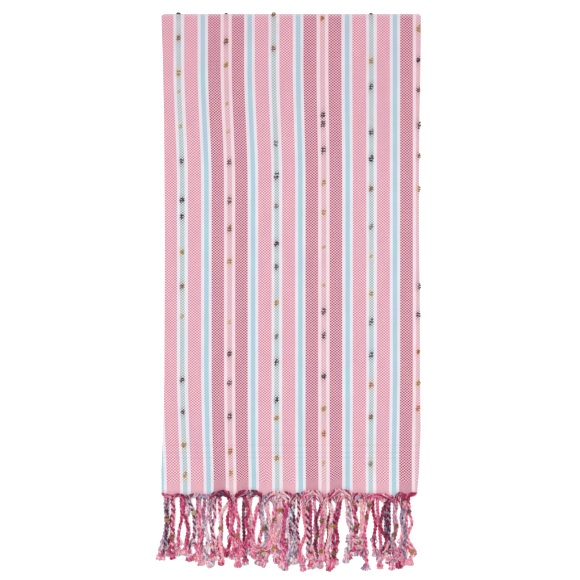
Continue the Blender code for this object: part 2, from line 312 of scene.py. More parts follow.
# %% The weaver's list
COLUMN, REPEAT = 2.442 * MM, 62
FIRST_STRIPE = -205.6 * MM
TONES = {
    # name: ground, dot, and the two tones that both drift to along the thread
    "light_pink": ((279, 228, 236), (193, 122, 143), (275, 226, 238), (188, 122, 150)),
    "white": ((262, 250, 254), (236, 228, 238), (254, 252, 258), (226, 234, 244)),
    "green_nep": ((246, 252, 250), (146, 168, 171), (232, 249, 250), (140, 174, 182)),
    "blue": ((206, 233, 249), (161, 199, 220), (200, 237, 243), (155, 204, 212)),
    "dark": ((279, 218, 230), (126, 14, 58), (275, 215, 233), (118, 18, 70)),
    "pale": ((264, 246, 251), (246, 216, 230), (262, 246, 250), (244, 220, 228)),
    "pink_nep": ((266, 228, 238), (202, 152, 172), (262, 230, 234), (206, 158, 164)),
}
STRIPES = (
    # name and width in millimetres
    ("light_pink", 21.0), ("white", 4.5), ("green_nep", 7.5), ("white", 4.9),
    ("light_pink", 20.7), ("white", 4.9), ("blue", 7.1), ("white", 4.9),
    ("dark", 20.2), ("pale", 4.9), ("pink_nep", 8.1), ("pale", 4.9), ("dark", 20.5),
    ("white", 5.0), ("blue", 7.1), ("white", 5.2),
)
print("one repeat is", round(sum(width for _, width in STRIPES), 1), "mm wide")


# %% From the list to a ramp, and to one place's stripe
def stripe_ramp(place, tone):
    """The colour of one of the stripes' four tones at this place in the repeat, from 0 to 1."""
    stops, edge = [], 0.0
    for name, width in STRIPES:
        stops.append((edge, linear(*TONES[name][tone], 1 / LIGHT)))
        edge += width * MM / (REPEAT * COLUMN)
    return place.colours(stops, "CONSTANT")


def stripe_at(across):
    """The name of the stripe at this distance across the flat cloth."""
    place = (across - FIRST_STRIPE) % (REPEAT * COLUMN)
    for name, width in STRIPES:
        place -= width * MM
        if place < 0:
            return name
    return STRIPES[-1][0]


print("the middle of the panel lies in a stripe of", stripe_at(0.0))

# %% [markdown]
# ## The cloth's finish
#
# The mesh of the cloth carries its flat size as its UV map, in metres: how far across the loom,
# and how far from the fold. So the pattern is the same before and after folding, and it turns
# round the folds as the real one does. The dots are a sine wave across times one along: where both
# have the same sign lies a dot, which gives the weave's slanting rows of staggered dots.
#
# Effect yarn runs in two stripes of each repeat. Near each of its knots it is coloured, so the mesh
# also carries how strong that colour is at each point, and which tone it has.

# %% Tones of the effect yarn
EFFECT_YARN = {
    # tone: its place on the ramp, and its screen colour
    "gold": (0.0, (180, 152, 82)), "orange": (0.17, (204, 128, 72)), "brown": (0.33, (126, 76, 46)),
    "ochre": (0.5, (214, 190, 142)), "grey": (0.67, (128, 128, 130)), "plum": (0.83, (92, 42, 62)),
    "black": (1.0, (34, 27, 34)),
}
EFFECT_STOPS = [(place, linear(*colour)) for place, colour in EFFECT_YARN.values()]
print("the effect yarn's tones:", ", ".join(EFFECT_YARN))

# %% Cloth material
DOT_ROW = 2.1 * MM              # one row of dots; the next one is half a step aside
HEADING = 18 * MM               # the plain stretch before each woven end
HEADING_EDGE = 1.5 * MM         # how softly it starts
THICK_WEFTS = (692 * MM, 704 * MM, 712 * MM)        # distances of thicker wefts from the fold
DRIFT_LENGTH = 70 * MM          # how soon a warp's dye drifts from one tone to the other
DRIFT_ASIDE = 0.35              # how much that differs from one column to the next
CLOUD_WIDE, CLOUD_LONG = 16 * MM, 48 * MM
CLOUD_SLICE = 7.0               # another slice of the noise than the drift's

cloth_paint, cloth_shader, start = new_material("striped_cotton_cloth", 0.88, sheen=0.05)
flat_place = start.node("ShaderNodeUVMap", {"uv_map": "flat_cloth"})
across, along = flat_place.part(0), flat_place.part(1)
from_fold = abs(along)
column = (across - FIRST_STRIPE) / COLUMN
repeat_place = (column % REPEAT) / REPEAT
drift_place = start.vector(column.floor() * DRIFT_ASIDE, along / DRIFT_LENGTH)
drift = drift_place.noise().stretch(0.36, 0.64)
cloud_place = start.vector(across / CLOUD_WIDE, along / CLOUD_LONG, CLOUD_SLICE)
cloud = cloud_place.noise().stretch(0.3, 0.7)
ground = drift.mix(stripe_ramp(repeat_place, 0), stripe_ramp(repeat_place, 2))
dot_colour = drift.mix(stripe_ramp(repeat_place, 1), stripe_ramp(repeat_place, 3))
print("dots", round(COLUMN / MM, 2), "mm apart, in rows of", round(DOT_ROW / MM, 2), "mm")

# %% Dots, heading and single threads
DOT_EDGE = 1.9                  # more makes the dots' edges sharper
THREAD_CONTRAST = 0.16          # how clearly single warps show in the heading
UNEVENNESS = 0.12               # how much one dot differs from the next

away_from_end = WOVEN_HALF - from_fold
heading = away_from_end.near(HEADING - HEADING_EDGE, HEADING + HEADING_EDGE)
checker = column.wave(2.0) * along.wave(2 * DOT_ROW)
dots = (checker * DOT_EDGE + 0.5).held()
threads = (column * 2).wave(1.0) * THREAD_CONTRAST + 0.5
even_dots = dots + (threads - dots) * heading
uneven = start.vector(column.floor(), (along / DOT_ROW).floor()).chance()
dots_here = (even_dots * (1 - UNEVENNESS / 2 + uneven * UNEVENNESS)).held()
woven = dots_here.mix(ground, dot_colour)
print("plain heading:", round(HEADING / MM), "mm before each woven end")

# %% The effect yarn's coloured stretches
EFFECT_CONTRAST = 1.3

effect = start.node("ShaderNodeAttribute", {"attribute_name": "effect_yarn"}, output=1)
effect_tone = effect.part(1).colours(EFFECT_STOPS)
effect_strength = (effect.part(0) * dots_here * EFFECT_CONTRAST).held()
coloured = effect_strength.mix(woven, effect_tone)
print("the effect yarn's ramp has", len(EFFECT_STOPS), "stops")

# %% [markdown]
# Four darker tones lie over the pattern. Clouds where the dye took unevenly, the thicker wefts
# and the last millimetres before the fringe are the cloth's own. The darkening towards the fold
# is painted shade, and the crest of the fold itself is painted a pale grey, as shade where the
# cloth turns away from the light.

# %% Darker tones, painted shade towards the fold, and the fold's crest
# clouds, thicker wefts and the tint before the fringe are the cloth's own tones; the darkening
# towards the fold and the fold's pale grey crest are painted shade
CLOUD_SHADE, WEFT_SHADE, END_SHADE, PAINTED_FOLD_SHADE = 0.07, 0.11, 0.22, 0.115
SHADE_COLOUR = linear(160, 50, 96)
CREST_SHADE_COLOUR = linear(214, 212, 216, 1 / LIGHT)

thick_weft = sum(abs(from_fold - line).near(0.3 * MM, 1.1 * MM) for line in THICK_WEFTS)
beside_fringe = away_from_end.near(0.5 * MM, 7 * MM)
# painted shade: the cloth darkens towards the fold, fading out 300 mm from it
painted_fold_shade = from_fold.near(0.0, 300 * MM)
end_shades = beside_fringe * END_SHADE + painted_fold_shade * PAINTED_FOLD_SHADE
shade = (cloud * CLOUD_SHADE + thick_weft * WEFT_SHADE + end_shades).held()
shaded = shade.mix(coloured, SHADE_COLOUR)
# painted shade: up to half way to pale grey within 9 mm of the fold, where its crest turns away
painted_crest_shade = from_fold.near(1.5 * MM, 9 * MM) * 0.5
feed(cloth_shader, "Base Color", painted_crest_shade.mix(shaded, CREST_SHADE_COLOUR))
print("thicker wefts near each end:", len(THICK_WEFTS))

# %% Relief of the threads
DOT_RELIEF, THREAD_RELIEF, WEFT_RELIEF = 0.7, 0.12, 0.5

fine_warp = (column * 4).wave(1.0)
fine_weft = along.wave(DOT_ROW / 2)
fine_threads = fine_warp * THREAD_RELIEF + fine_weft * THREAD_RELIEF
relief = dots_here * DOT_RELIEF + fine_threads + thick_weft * WEFT_RELIEF
bump = {"Height": relief, "Distance": 0.35 * MM, "Strength": 0.6}
feed(cloth_shader, "Normal", start.node("ShaderNodeBump", None, bump))
print("cloth material:", len(cloth_paint.node_tree.nodes), "nodes")

# %% [markdown]
# ## How the cloth is folded
#
# Both long sides are turned in behind the front panel, and the strip is then folded in half across
# its length. One grid of points follows the cloth from selvedge to selvedge and from one woven end
# round the fold to the other. The panel's side edges aren't straight, because hands laid them, so
# a short table gives them row by row. A cloth simulation could fold the sheet too, but it would
# lose the exact lie that the photograph shows, so the folds are laid directly.

# %% The panel's side edges, as in the CAD towel
EDGE_ROWS = np.array([
    # Y, left X, right X, in millimetres
    (-390.0, -209.0, 199.2),
    (-348.0, -209.6, 202.7),
    (-284.0, -207.2, 205.4),
    (-204.0, -204.8, 204.4),
    (-92.0, -204.4, 204.3),
    (20.0, -204.2, 202.9),
    (116.0, -204.6, 202.7),
    (212.0, -205.3, 203.5),
    (308.0, -207.2, 205.3),
    (356.0, -208.8, 205.9),
    (379.0, -209.5, 205.9),
]) * MM


def ease(share):
    """0 to 1 with no corner at either end."""
    share = np.clip(share, 0.0, 1.0)
    return share * share * (3 - 2 * share)


def side_edges(y):
    """The panel's left and right edge at this Y."""
    return tuple(np.interp(y, EDGE_ROWS[:, 0], EDGE_ROWS[:, side]) for side in (1, 2))


END_LEFT, END_RIGHT = side_edges(-FOLD_Y)       # the panel's corners at the woven end
print("the woven end is", round((END_RIGHT - END_LEFT) / MM, 1), "mm wide")

# %% [markdown]
# The woven ends aren't straight either. On the panel the tassels pull the cloth's end into arches
# between their necks, behind it the flaps hang out a few millimetres lower, and the end of the
# hidden half just waves a little.

# %% The woven ends
TASSEL_PITCH = 25.3 * MM
END_WAVE, END_WAVE_RUNS = 2.4 * MM, (62 * MM, 171 * MM)
ARCH_POWER = 0.7                        # below 1, which makes the arches fuller than a sine wave
FLAP_DROP = 3 * MM, 5 * MM              # the left and the right flap hang out below the panel
FLAP_SCALLOP = 2.0 * MM
FLAP_DROP_RUN, SCALLOP_RUN = 45 * MM, 20 * MM       # where both are full, from the panel's edge
FIRST_LEFT, FIRST_RIGHT = 0.40, 1.05    # the flaps' first tassels, in pitches from the panel's edge
NECKS = np.array([
    # X of a neck, depth of its tip below the end line, rise of the arch to its right
    (-209.5, 2.4, 0.4), (-192.0, 4.5, 1.5), (-168.0, 5.0, 2.0), (-133.0, 5.6, 7.6),
    (-93.0, 4.8, 8.2), (-43.4, 5.6, 6.0), (1.4, 4.5, 2.0), (14.2, 2.2, 6.0), (54.2, 5.0, 8.6),
    (99.0, 3.2, 1.5), (115.0, 3.2, 1.8), (164.6, 6.4, 4.0), (179.0, 3.4, 1.2), (199.0, 2.4, 0.0),
]) * MM


def woven_end(x):
    """The Y where the hidden half's weave ends and its fringe starts."""
    first, second = END_WAVE_RUNS
    return -FOLD_Y - END_WAVE * np.sin(x / first + 0.6) * np.cos(x / second)


def pulled_end(x):
    """The Y of the panel's woven end, which the tassels pull into arches between their necks."""
    place = np.clip(np.searchsorted(NECKS[:, 0], x) - 1, 0, len(NECKS) - 2)
    left, right = NECKS[place], NECKS[place + 1]
    share = np.clip((x - left[..., 0]) / (right[..., 0] - left[..., 0]), 0, 1)
    tip = left[..., 1] + (right[..., 1] - left[..., 1]) * share
    return -FOLD_Y - tip + left[..., 2] * np.sin(math.pi * share) ** ARCH_POWER


def flap_end(x, beyond):
    """The Y of a flap's woven end, this far beyond the panel's edge (left is negative)."""
    right_one, beyond = beyond > 0, np.abs(beyond)
    from_right = (END_RIGHT - x) / TASSEL_PITCH - FIRST_RIGHT
    from_left = (x - END_LEFT) / TASSEL_PITCH - FIRST_LEFT
    tassels = np.where(right_one, from_right, from_left)
    drop = np.where(right_one, FLAP_DROP[1], FLAP_DROP[0]) * ease(beyond / FLAP_DROP_RUN)
    scallop = FLAP_SCALLOP * np.abs(np.sin(math.pi * tassels)) * ease(beyond / SCALLOP_RUN)
    return -FOLD_Y - END_WAVE - drop + scallop


print("arches at the panel's end:", len(NECKS) - 1)

# %% Soft hills
SWELL = 0.9 * MM
WIDE_HILLS, LONG_HILLS = (71 * MM, 190 * MM), (83 * MM, 140 * MM)
FLAT_RUN = 70 * MM              # how far from the fold they reach their height


def swell(x, y):
    """Soft hills of the upper half, which die out towards the fold."""
    wide = np.sin(x / WIDE_HILLS[0] + y / WIDE_HILLS[1])
    long = np.sin(y / LONG_HILLS[0] - x / LONG_HILLS[1])
    return SWELL * (2 + wide + long) / 4 * ease((FOLD_Y - y) / FLAT_RUN)


print("the middle of the panel is raised by", round(float(swell(0.0, 0.0)) / MM, 2), "mm")

# %% [markdown]
# The stripes lean a little, because the cloth was pulled about as it was laid. Each row of the
# table is one soft push sideways. It starts at a Y and an X, and is at its full strength a run
# further on.

# %% How far the stripes lean away from straight
PUSHES = (
    # sideways, Y where it starts and its run, X where it starts and its run, in millimetres
    (-5.7, 110, 190, 150, -240),
    (3.4, -190, -150, -40, -170),
    (-1.6, -190, -150, 60, 120),
    (1.8, -285, -90, 130, -300),
)
RIDGE, RIDGE_X, RIDGE_HALF = 1.2 * MM, -130 * MM, 40 * MM      # one more along the whole length


def lean(x, y):
    """How far a stripe is pushed sideways here, mostly at the top left and the bottom left."""
    pushed = RIDGE * np.exp(-(((x - RIDGE_X) / RIDGE_HALF) ** 2))
    for sideways, y_start, y_run, x_start, x_run in PUSHES:
        down_here = ease((y - y_start * MM) / (y_run * MM))
        pushed = pushed + sideways * MM * down_here * ease((x - x_start * MM) / (x_run * MM))
    return pushed


def panel_place(flat_across, y):
    """The X on the front panel of a point this far across the flat cloth."""
    x = flat_across
    for _ in range(4):
        x = flat_across + lean(x, y)
    return x


print("at the bottom left a stripe leans by", round(float(lean(END_LEFT, -FOLD_Y)) / MM, 1), "mm")

# %% [markdown]
# A column of the grid runs from the upper woven end to the lower one. Its place on the folded
# cloth's section says how far it lies beyond the panel's edge, which is 0 all over the panel.

# %% The grid's columns: flap, side fold, panel, side fold, flap
FLAP_STEPS, SIDE_STEPS, PANEL_STEPS = 30, 8, 164
LEFT_RADIUS, RIGHT_RADIUS = LAYER_PITCH, LAYER_PITCH / 2


def cloth_columns(left, right):
    """(X, depth, flat distance beyond the panel's edge) of each column, for each row's edges."""
    left, right = left[:, None], right[:, None]
    left_middle = left + SHEET_THICK / 2 + LEFT_RADIUS
    right_middle = right - SHEET_THICK / 2 - RIGHT_RADIUS
    away = FLAP_WIDTH * (1 - np.arange(FLAP_STEPS) / FLAP_STEPS)
    turn = math.pi * np.arange(SIDE_STEPS) / SIDE_STEPS
    share = np.arange(PANEL_STEPS) / PANEL_STEPS
    x = np.hstack([
        left + away,
        left_middle - LEFT_RADIUS * np.sin(turn),
        left_middle + (right_middle - left_middle) * share,
        right_middle + RIGHT_RADIUS * np.sin(turn),
        right - away[::-1],
    ])
    depth = np.concatenate([
        np.full(FLAP_STEPS, 2 * LEFT_RADIUS),
        LEFT_RADIUS * (1 + np.cos(turn)),
        np.zeros(PANEL_STEPS),
        RIGHT_RADIUS * (1 - np.cos(turn)),
        np.full(FLAP_STEPS, 2 * RIGHT_RADIUS),
    ])
    beyond = np.concatenate([
        -math.pi * LEFT_RADIUS - away,
        -LEFT_RADIUS * (math.pi - turn),
        np.zeros(PANEL_STEPS),
        RIGHT_RADIUS * turn,
        math.pi * RIGHT_RADIUS + away[::-1],
    ])
    return x, np.broadcast_to(depth, x.shape), np.broadcast_to(beyond, x.shape)


print("grid columns:", 2 * FLAP_STEPS + 2 * SIDE_STEPS + PANEL_STEPS)

# %% [markdown]
# The rows run from the upper woven end to the fold, round it and back along the underside. Each
# row knows its Y, whether it lies above or below, and its distance from the fold in flat cloth.

# %% The grid's rows
UPPER_STEPS, FOLD_STEPS, LOWER_STEPS = 120, 14, 30
CLOSER_ROWS = 1.35                      # more than 1 sets the rows closer near the woven end
upper_share = (np.arange(UPPER_STEPS) / UPPER_STEPS) ** CLOSER_ROWS
fold_angle = math.pi * np.arange(FOLD_STEPS + 1) / FOLD_STEPS
lower_share = np.arange(1, LOWER_STEPS + 1) / LOWER_STEPS
angle = np.concatenate([np.zeros(UPPER_STEPS), fold_angle, np.full(LOWER_STEPS, math.pi)])
# How far back from the turn a row lies, from 0 at the turn to 1 at the woven end.
back = np.concatenate([1 - upper_share, np.zeros(FOLD_STEPS + 1), lower_share])
row_along = np.concatenate([
    FOLD_HALF + (1 - upper_share) * (WOVEN_HALF - FOLD_HALF),
    FOLD_HALF - fold_angle * FOLD_RADIUS,
    -FOLD_HALF - lower_share * (WOVEN_HALF - FOLD_HALF),
])
print("grid rows:", len(angle))

# %% The sheet's middle surface
HIDDEN_SIDE_STEP = 1.0 * MM             # how far the hidden half's sides stay inside the panel's
CORNER_ROUND = 4.5 * MM
PULLED_SHARE = 0.09                     # the share of a half's length that follows its woven end

row_y = TURN_Y - back * (TURN_Y + FOLD_Y)
left_edge, right_edge = side_edges(row_y)
under = ease((1 - np.cos(angle)) / 2)
drawn = CORNER_ROUND * np.sin(angle) ** 4 + HIDDEN_SIDE_STEP * under
grid_x, grid_depth, grid_beyond = cloth_columns(left_edge + drawn, right_edge - drawn)

above = (angle[:, None] < 0.01) * 1.0
upper_end = np.where(grid_beyond == 0, pulled_end(grid_x), flap_end(grid_x, grid_beyond))
end_y = np.where(above > 0, upper_end, woven_end(grid_x))
grid_radius = FOLD_RADIUS - grid_depth
pull = ease((back - (1 - PULLED_SHARE)) / PULLED_SHARE)[:, None]
row_end = -FOLD_Y + (end_y + FOLD_Y) * pull
grid_y = TURN_Y - back[:, None] * (TURN_Y - row_end) + grid_radius * np.sin(angle)[:, None]
upper_z = TOP_Z - FOLD_RADIUS + grid_radius * np.cos(angle)[:, None]
lift = swell(grid_x, grid_y) * above + (BOTTOM_Z - CAD_HALF_THICK) * under[:, None]
print("the highest row stands at", round(float(upper_z.max() + SHEET_THICK / 2) / MM, 1), "mm")

# %% Small puckers where the tassels pull at the woven end
PUCKER, PUCKER_SHARE = 0.35 * MM, 0.04
near_end = ease((PUCKER_SHARE - (1 - back[:, None])) / PUCKER_SHARE)
pucker = 1 + np.sin(grid_x * 2 * math.pi / TASSEL_PITCH)
grid_z = upper_z + lift + PUCKER * near_end * pucker * above
print("the puckers are up to", round(2 * PUCKER / MM, 1), "mm high")

# %% Flat coordinates of each grid point
panel_left = left_edge + drawn + SHEET_THICK / 2 + LEFT_RADIUS
panel_right = right_edge - drawn - SHEET_THICK / 2 - RIGHT_RADIUS
panel_x = np.where(grid_beyond < 0, panel_left[:, None], grid_x)
panel_x = np.where(grid_beyond > 0, panel_right[:, None], panel_x)
flat_across = panel_x - lean(panel_x, grid_y) + grid_beyond
flat_along = np.broadcast_to(row_along[:, None], flat_across.shape)
print("flat coordinates for", flat_across.size, "grid points")

# %% [markdown]
# ## Neps
#
# The effect yarn has neps: small wound knots in gold, brown, plum and near-black that stand on the
# cloth like seeds. Each stripe of it has them every few centimetres. The lists give how far each
# one lies from the fold, and its tone. Size 0 stands for a faint one of thin pale yarn.

# %% Where the neps are
GREEN_COLUMN, PINK_COLUMN = 11.98, 42.9      # the middles of the effect stripes, in columns
NEPS = {
    # stripe's middle in columns: (distance from the fold in millimetres, tone, size or 0)
    GREEN_COLUMN: (
        (0, "black", 1), (41, "brown", 1), (97, "gold", 1), (126, "ochre", 0), (182, "ochre", 0),
        (238, "black", 1), (300, "black", 1.1), (327, "black", 0.9), (383, "gold", 1),
        (438, "brown", 1), (486, "ochre", 0), (588, "black", 1), (639, "plum", 0.9),
        (692, "gold", 1), (740, "gold", 0.9),
    ),
    PINK_COLUMN: (
        (0, "black", 0.7), (46, "brown", 1.1), (84, "gold", 1), (146, "ochre", 0),
        (191, "ochre", 0), (240, "plum", 1.1), (301, "plum", 1), (346, "brown", 1),
        (398, "gold", 1), (495, "ochre", 0), (546, "black", 1), (593, "plum", 1),
        (646, "black", 1.1), (702, "orange", 1), (737, "gold", 0.9),
    ),
    REPEAT + GREEN_COLUMN: (
        (3, "brown", 0.9), (58, "brown", 1), (210, "grey", 1), (262, "black", 1.1),
        (310, "grey", 0.9), (370, "black", 1), (407, "plum", 1), (465, "gold", 1),
        (518, "grey", 0.9), (559, "black", 1), (620, "black", 0.9), (649, "gold", 1),
        (713, "gold", 1),
    ),
    REPEAT + PINK_COLUMN: (
        (9, "orange", 0.9), (164, "black", 1), (178, "plum", 1.1), (220, "black", 1.2),
        (272, "gold", 1), (320, "gold", 1), (375, "ochre", 0), (436, "ochre", 0),
        (478, "plum", 1), (517, "black", 1), (582, "black", 1), (634, "gold", 1),
        (674, "orange", 1), (721, "ochre", 0),
    ),
    2 * REPEAT + GREEN_COLUMN: (
        (2, "brown", 0.8), (78, "gold", 1), (119, "black", 1), (192, "black", 1.2),
        (234, "black", 1), (282, "brown", 1), (343, "grey", 0.9), (390, "ochre", 0),
        (450, "gold", 0.9), (495, "black", 1.1), (548, "black", 1.1), (596, "orange", 1),
        (647, "brown", 1), (722, "grey", 0.9),
    ),
    2 * REPEAT + PINK_COLUMN: (
        (26, "gold", 1.1), (76, "black", 0.9), (124, "plum", 1), (180, "black", 1.2),
        (229, "brown", 1), (282, "gold", 1.1), (438, "black", 1), (484, "black", 1.2),
        (543, "orange", 0.8), (593, "gold", 1), (633, "orange", 1),
    ),
}
print(sum(len(row) for row in NEPS.values()), "neps on the front")

# %% Colour of the effect yarn at each grid point
COLOURED_COLUMNS = 2.2                      # how far to each side of a nep the colour reaches
NEP_GLOW, FAINT_GLOW = (7 * MM, 0.7), (5 * MM, 0.4)     # reach along the warp, and strength


def effect_yarn_colour(across, along):
    """How strongly the effect yarn is coloured at each point, and its tone."""
    strength, tone = np.zeros_like(across), np.zeros_like(across)
    for stripe, row in NEPS.items():
        middle = FIRST_STRIPE + stripe * COLUMN
        beside = np.clip(COLOURED_COLUMNS - np.abs(across - middle) / COLUMN, 0, 1)
        for distance, name, size in row:
            reach, strongest = NEP_GLOW if size else FAINT_GLOW
            near = np.exp(-((along - distance * MM) / reach) ** 2) * beside * strongest
            tone = np.where(near > strength, EFFECT_YARN[name][0], tone)
            strength = np.maximum(strength, near)
    return strength, tone


effect_strengths, effect_tones = effect_yarn_colour(flat_across, flat_along)
print("coloured grid points:", int((effect_strengths > 0.1).sum()))

# %% [markdown]
# ## From points to a sheet
#
# The grid is the middle of the cloth's thickness. The real sheet has two faces half a thickness
# away and a thin rim round them. Blender's Solidify modifier could do that, but in tight folds its
# faces cross, so both sides are made here from the grid's own normals.

# %% Build a mesh from quads
def quad_object(name, points, quads, uv_name, uvs, paint):
    """A mesh object. uvs holds one pair for each corner of each quad."""
    mesh = bpy.data.meshes.new(name)
    mesh.from_pydata(points + SHIFT, [], quads)
    mesh.uv_layers.new(name=uv_name)
    mesh.uv_layers[uv_name].uv.foreach_set("vector", uvs.astype(np.float32).ravel())
    mesh.shade_smooth()
    mesh.materials.append(paint)
    made = bpy.data.objects.new(name, mesh)
    bpy.context.scene.collection.objects.link(made)
    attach(made, "root")
    print(name, len(quads) * 2, "triangles")
    return made


def add_vector_attribute(made, name, values):
    """Gives each point of a mesh three numbers that a material can read."""
    made.data.attributes.new(name, "FLOAT_VECTOR", "POINT")
    made.data.attributes[name].data.foreach_set("vector", values.astype(np.float32).ravel())


# %% The cloth's two faces and its rim
middle = np.stack([grid_x, grid_y, grid_z], axis=2)
down_rows, down_columns = np.gradient(middle, axis=0), np.gradient(middle, axis=1)
normal = np.cross(down_columns, down_rows)
normal /= np.linalg.norm(normal, axis=2, keepdims=True)
outer, inner = middle + normal * SHEET_THICK / 2, middle - normal * SHEET_THICK / 2
panel_normals = normal[:UPPER_STEPS, FLAP_STEPS + SIDE_STEPS:-FLAP_STEPS - SIDE_STEPS]
print("normals of the front panel point up:", bool((panel_normals[..., 2] > 0).all()))

rows, columns = middle.shape[:2]
number = np.arange(rows * columns).reshape(rows, columns)
front = np.stack(
    [number[:-1, :-1], number[:-1, 1:], number[1:, 1:], number[1:, :-1]], axis=2
).reshape(-1, 4)
behind = rows * columns                     # the same point's number on the other face
rim_line = np.concatenate([number[0, :-1], number[:-1, -1], number[-1, :0:-1], number[:0:-1, 0]])
rim_next = np.roll(rim_line, -1)
rim = np.stack([rim_next, rim_line, rim_line + behind, rim_next + behind], axis=1)
quads = np.vstack([front, front[:, ::-1] + behind, rim])

# %% The towel's sheet
sheet_points = np.vstack([outer.reshape(-1, 3), inner.reshape(-1, 3)])
flat_uv = np.tile(np.stack([flat_across, flat_along], axis=2).reshape(-1, 2), (2, 1))
towel_sheet = quad_object(
    "towel_sheet", sheet_points, quads, "flat_cloth", flat_uv[quads.ravel()], cloth_paint
)
effect_values = np.stack([effect_strengths, effect_tones, np.zeros_like(effect_tones)], axis=2)
add_vector_attribute(towel_sheet, "effect_yarn", np.tile(effect_values.reshape(-1, 3), (2, 1)))
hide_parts("towel_cloth")

# %% [markdown]
# ## Strands
#
# Cords, knots, neps and frayed ends are all strands of yarn, so one helper makes them. A strand is
# a line of points, the radius at each of them, and a dye. Many strands are swept at once, each with
# a section of four or six sides. A Blender curve with a bevel would do the same, but a mesh can
# carry each strand's dye as a value of its own.

# %% The rings of points round many lines
UP = np.array([0.0, 0.0, 1.0])
OFF_AXIS = 0.31, 0.17, 0.93                 # no strand starts out in this direction


def unit(vectors):
    """The same directions, each one metre long."""
    return vectors / np.maximum(np.linalg.norm(vectors, axis=-1, keepdims=True), 1e-12)


def strand_points(lines, radii, sides):
    """The rings of points round each line: strands, steps, sides, 3."""
    heading_to = unit(np.gradient(lines, axis=1))
    side = unit(np.cross(heading_to[:, 0], OFF_AXIS))
    turn = 2 * math.pi * np.arange(sides)[None, :, None] / sides
    rings = []
    for step in range(lines.shape[1]):
        ahead = heading_to[:, step]
        side = unit(side - (side * ahead).sum(1, keepdims=True) * ahead)
        other = np.cross(ahead, side)
        ring = np.cos(turn) * side[:, None] + np.sin(turn) * other[:, None]
        rings.append(lines[:, step, None] + radii[:, step, None, None] * ring)
    return np.stack(rings, axis=1)


def ring_quads(number):
    """The four corners of each wall and cap, from the points' numbers: strands, steps, sides."""
    around = np.roll(number, -1, axis=2)
    walls = np.stack([number[:, :-1], around[:, :-1], around[:, 1:], number[:, 1:]], axis=-1)
    corners = [[0, 1, 2, 3], [0, 3, 4, 5]][: number.shape[2] // 2 - 1]
    caps = [number[:, -1][:, four] for four in corners]
    caps += [number[:, 0][:, four[::-1]] for four in corners]
    return walls.reshape(-1, 4), np.vstack(caps)


def yarn_uvs(lines, sides):
    """How far round its strand and how far along it each corner of each wall lies."""
    run = np.linalg.norm(np.diff(lines, axis=1), axis=2).cumsum(axis=1)
    run = np.concatenate([np.zeros((len(lines), 1)), run], axis=1)
    one = np.broadcast_to(np.arange(sides) / sides, (*run[:, 1:].shape, sides))
    first = np.broadcast_to(run[:, :-1, None], one.shape)
    last = np.broadcast_to(run[:, 1:, None], one.shape)
    next_one = one + 1 / sides
    uvs = np.stack([one, first, next_one, first, next_one, last, one, last], axis=-1)
    return uvs.reshape(-1, 2)


# %% A mesh of many strands
def strand_object(name, strands, sides, paint):
    """One object of closed strands. Each strand is its line of points, its radii and its dye."""
    lines, radii, dyes = (np.array(part) for part in zip(*strands))
    points = strand_points(lines, radii, sides)
    shape = points.shape[:3]
    walls, caps = ring_quads(np.arange(math.prod(shape)).reshape(shape))
    uvs = np.vstack([yarn_uvs(lines, sides), np.zeros((caps.size, 2))])
    made = quad_object(name, points.reshape(-1, 3), np.vstack([walls, caps]), "yarn", uvs, paint)
    dye = np.broadcast_to(dyes[:, None, None], shape).ravel()
    strand = np.broadcast_to(np.arange(len(lines))[:, None, None], shape).ravel()
    add_vector_attribute(made, "dye", np.stack([dye, strand, np.zeros_like(dye)], axis=1))
    return made


def gather(tassels, strands_of):
    """All the strands that strands_of makes for these tassels."""
    return [strand for tassel in tassels for strand in strands_of(tassel)]


# %% [markdown]
# ## Finishes of the yarns
#
# The fringe is the warp itself, and there its space-dyed colours show undiluted: crimson, magenta,
# pink, white, lavender and grey-blue, changing every few centimetres. The dye that a strand
# carries is a place on a ring of those colours, and noise along the strand moves it to and fro.
# Fine slanting lines round each strand are its twisted fibres: a bump, with painted shade in the
# grooves between them. The yarn is also mixed towards a painted crease shade, with random specks.

# %% Yarn material
SPACE_DYES = (
    # place on the ring from 0 to 1, and the screen colour there
    (0.00, (88, 20, 54)), (0.09, (140, 20, 62)), (0.20, (196, 48, 102)), (0.32, (230, 94, 146)),
    (0.44, (246, 150, 182)), (0.54, (254, 190, 210)), (0.61, (254, 200, 176)),
    (0.67, (255, 240, 246)), (0.75, (212, 176, 208)), (0.84, (154, 150, 172)),
    (0.90, (122, 134, 148)), (0.97, (88, 20, 54)), (1.00, (88, 20, 54)),
)
FRINGE_STOPS = [(place, linear(*colour)) for place, colour in SPACE_DYES]
FIBRE_TURN, SPECK_LENGTH = 1.6 * MM, 1.1 * MM
# how far a yarn is mixed towards its painted crease shade, and how much its fibre grooves and its
# random specks change that
CREASE_SHADE, FIBRE_SHADE, SPECK_SHADE = 0.38, 0.14, 0.5
SPREAD_APART, SPECKS_APART = 3.7, 5.3       # steps that give each strand its own noise


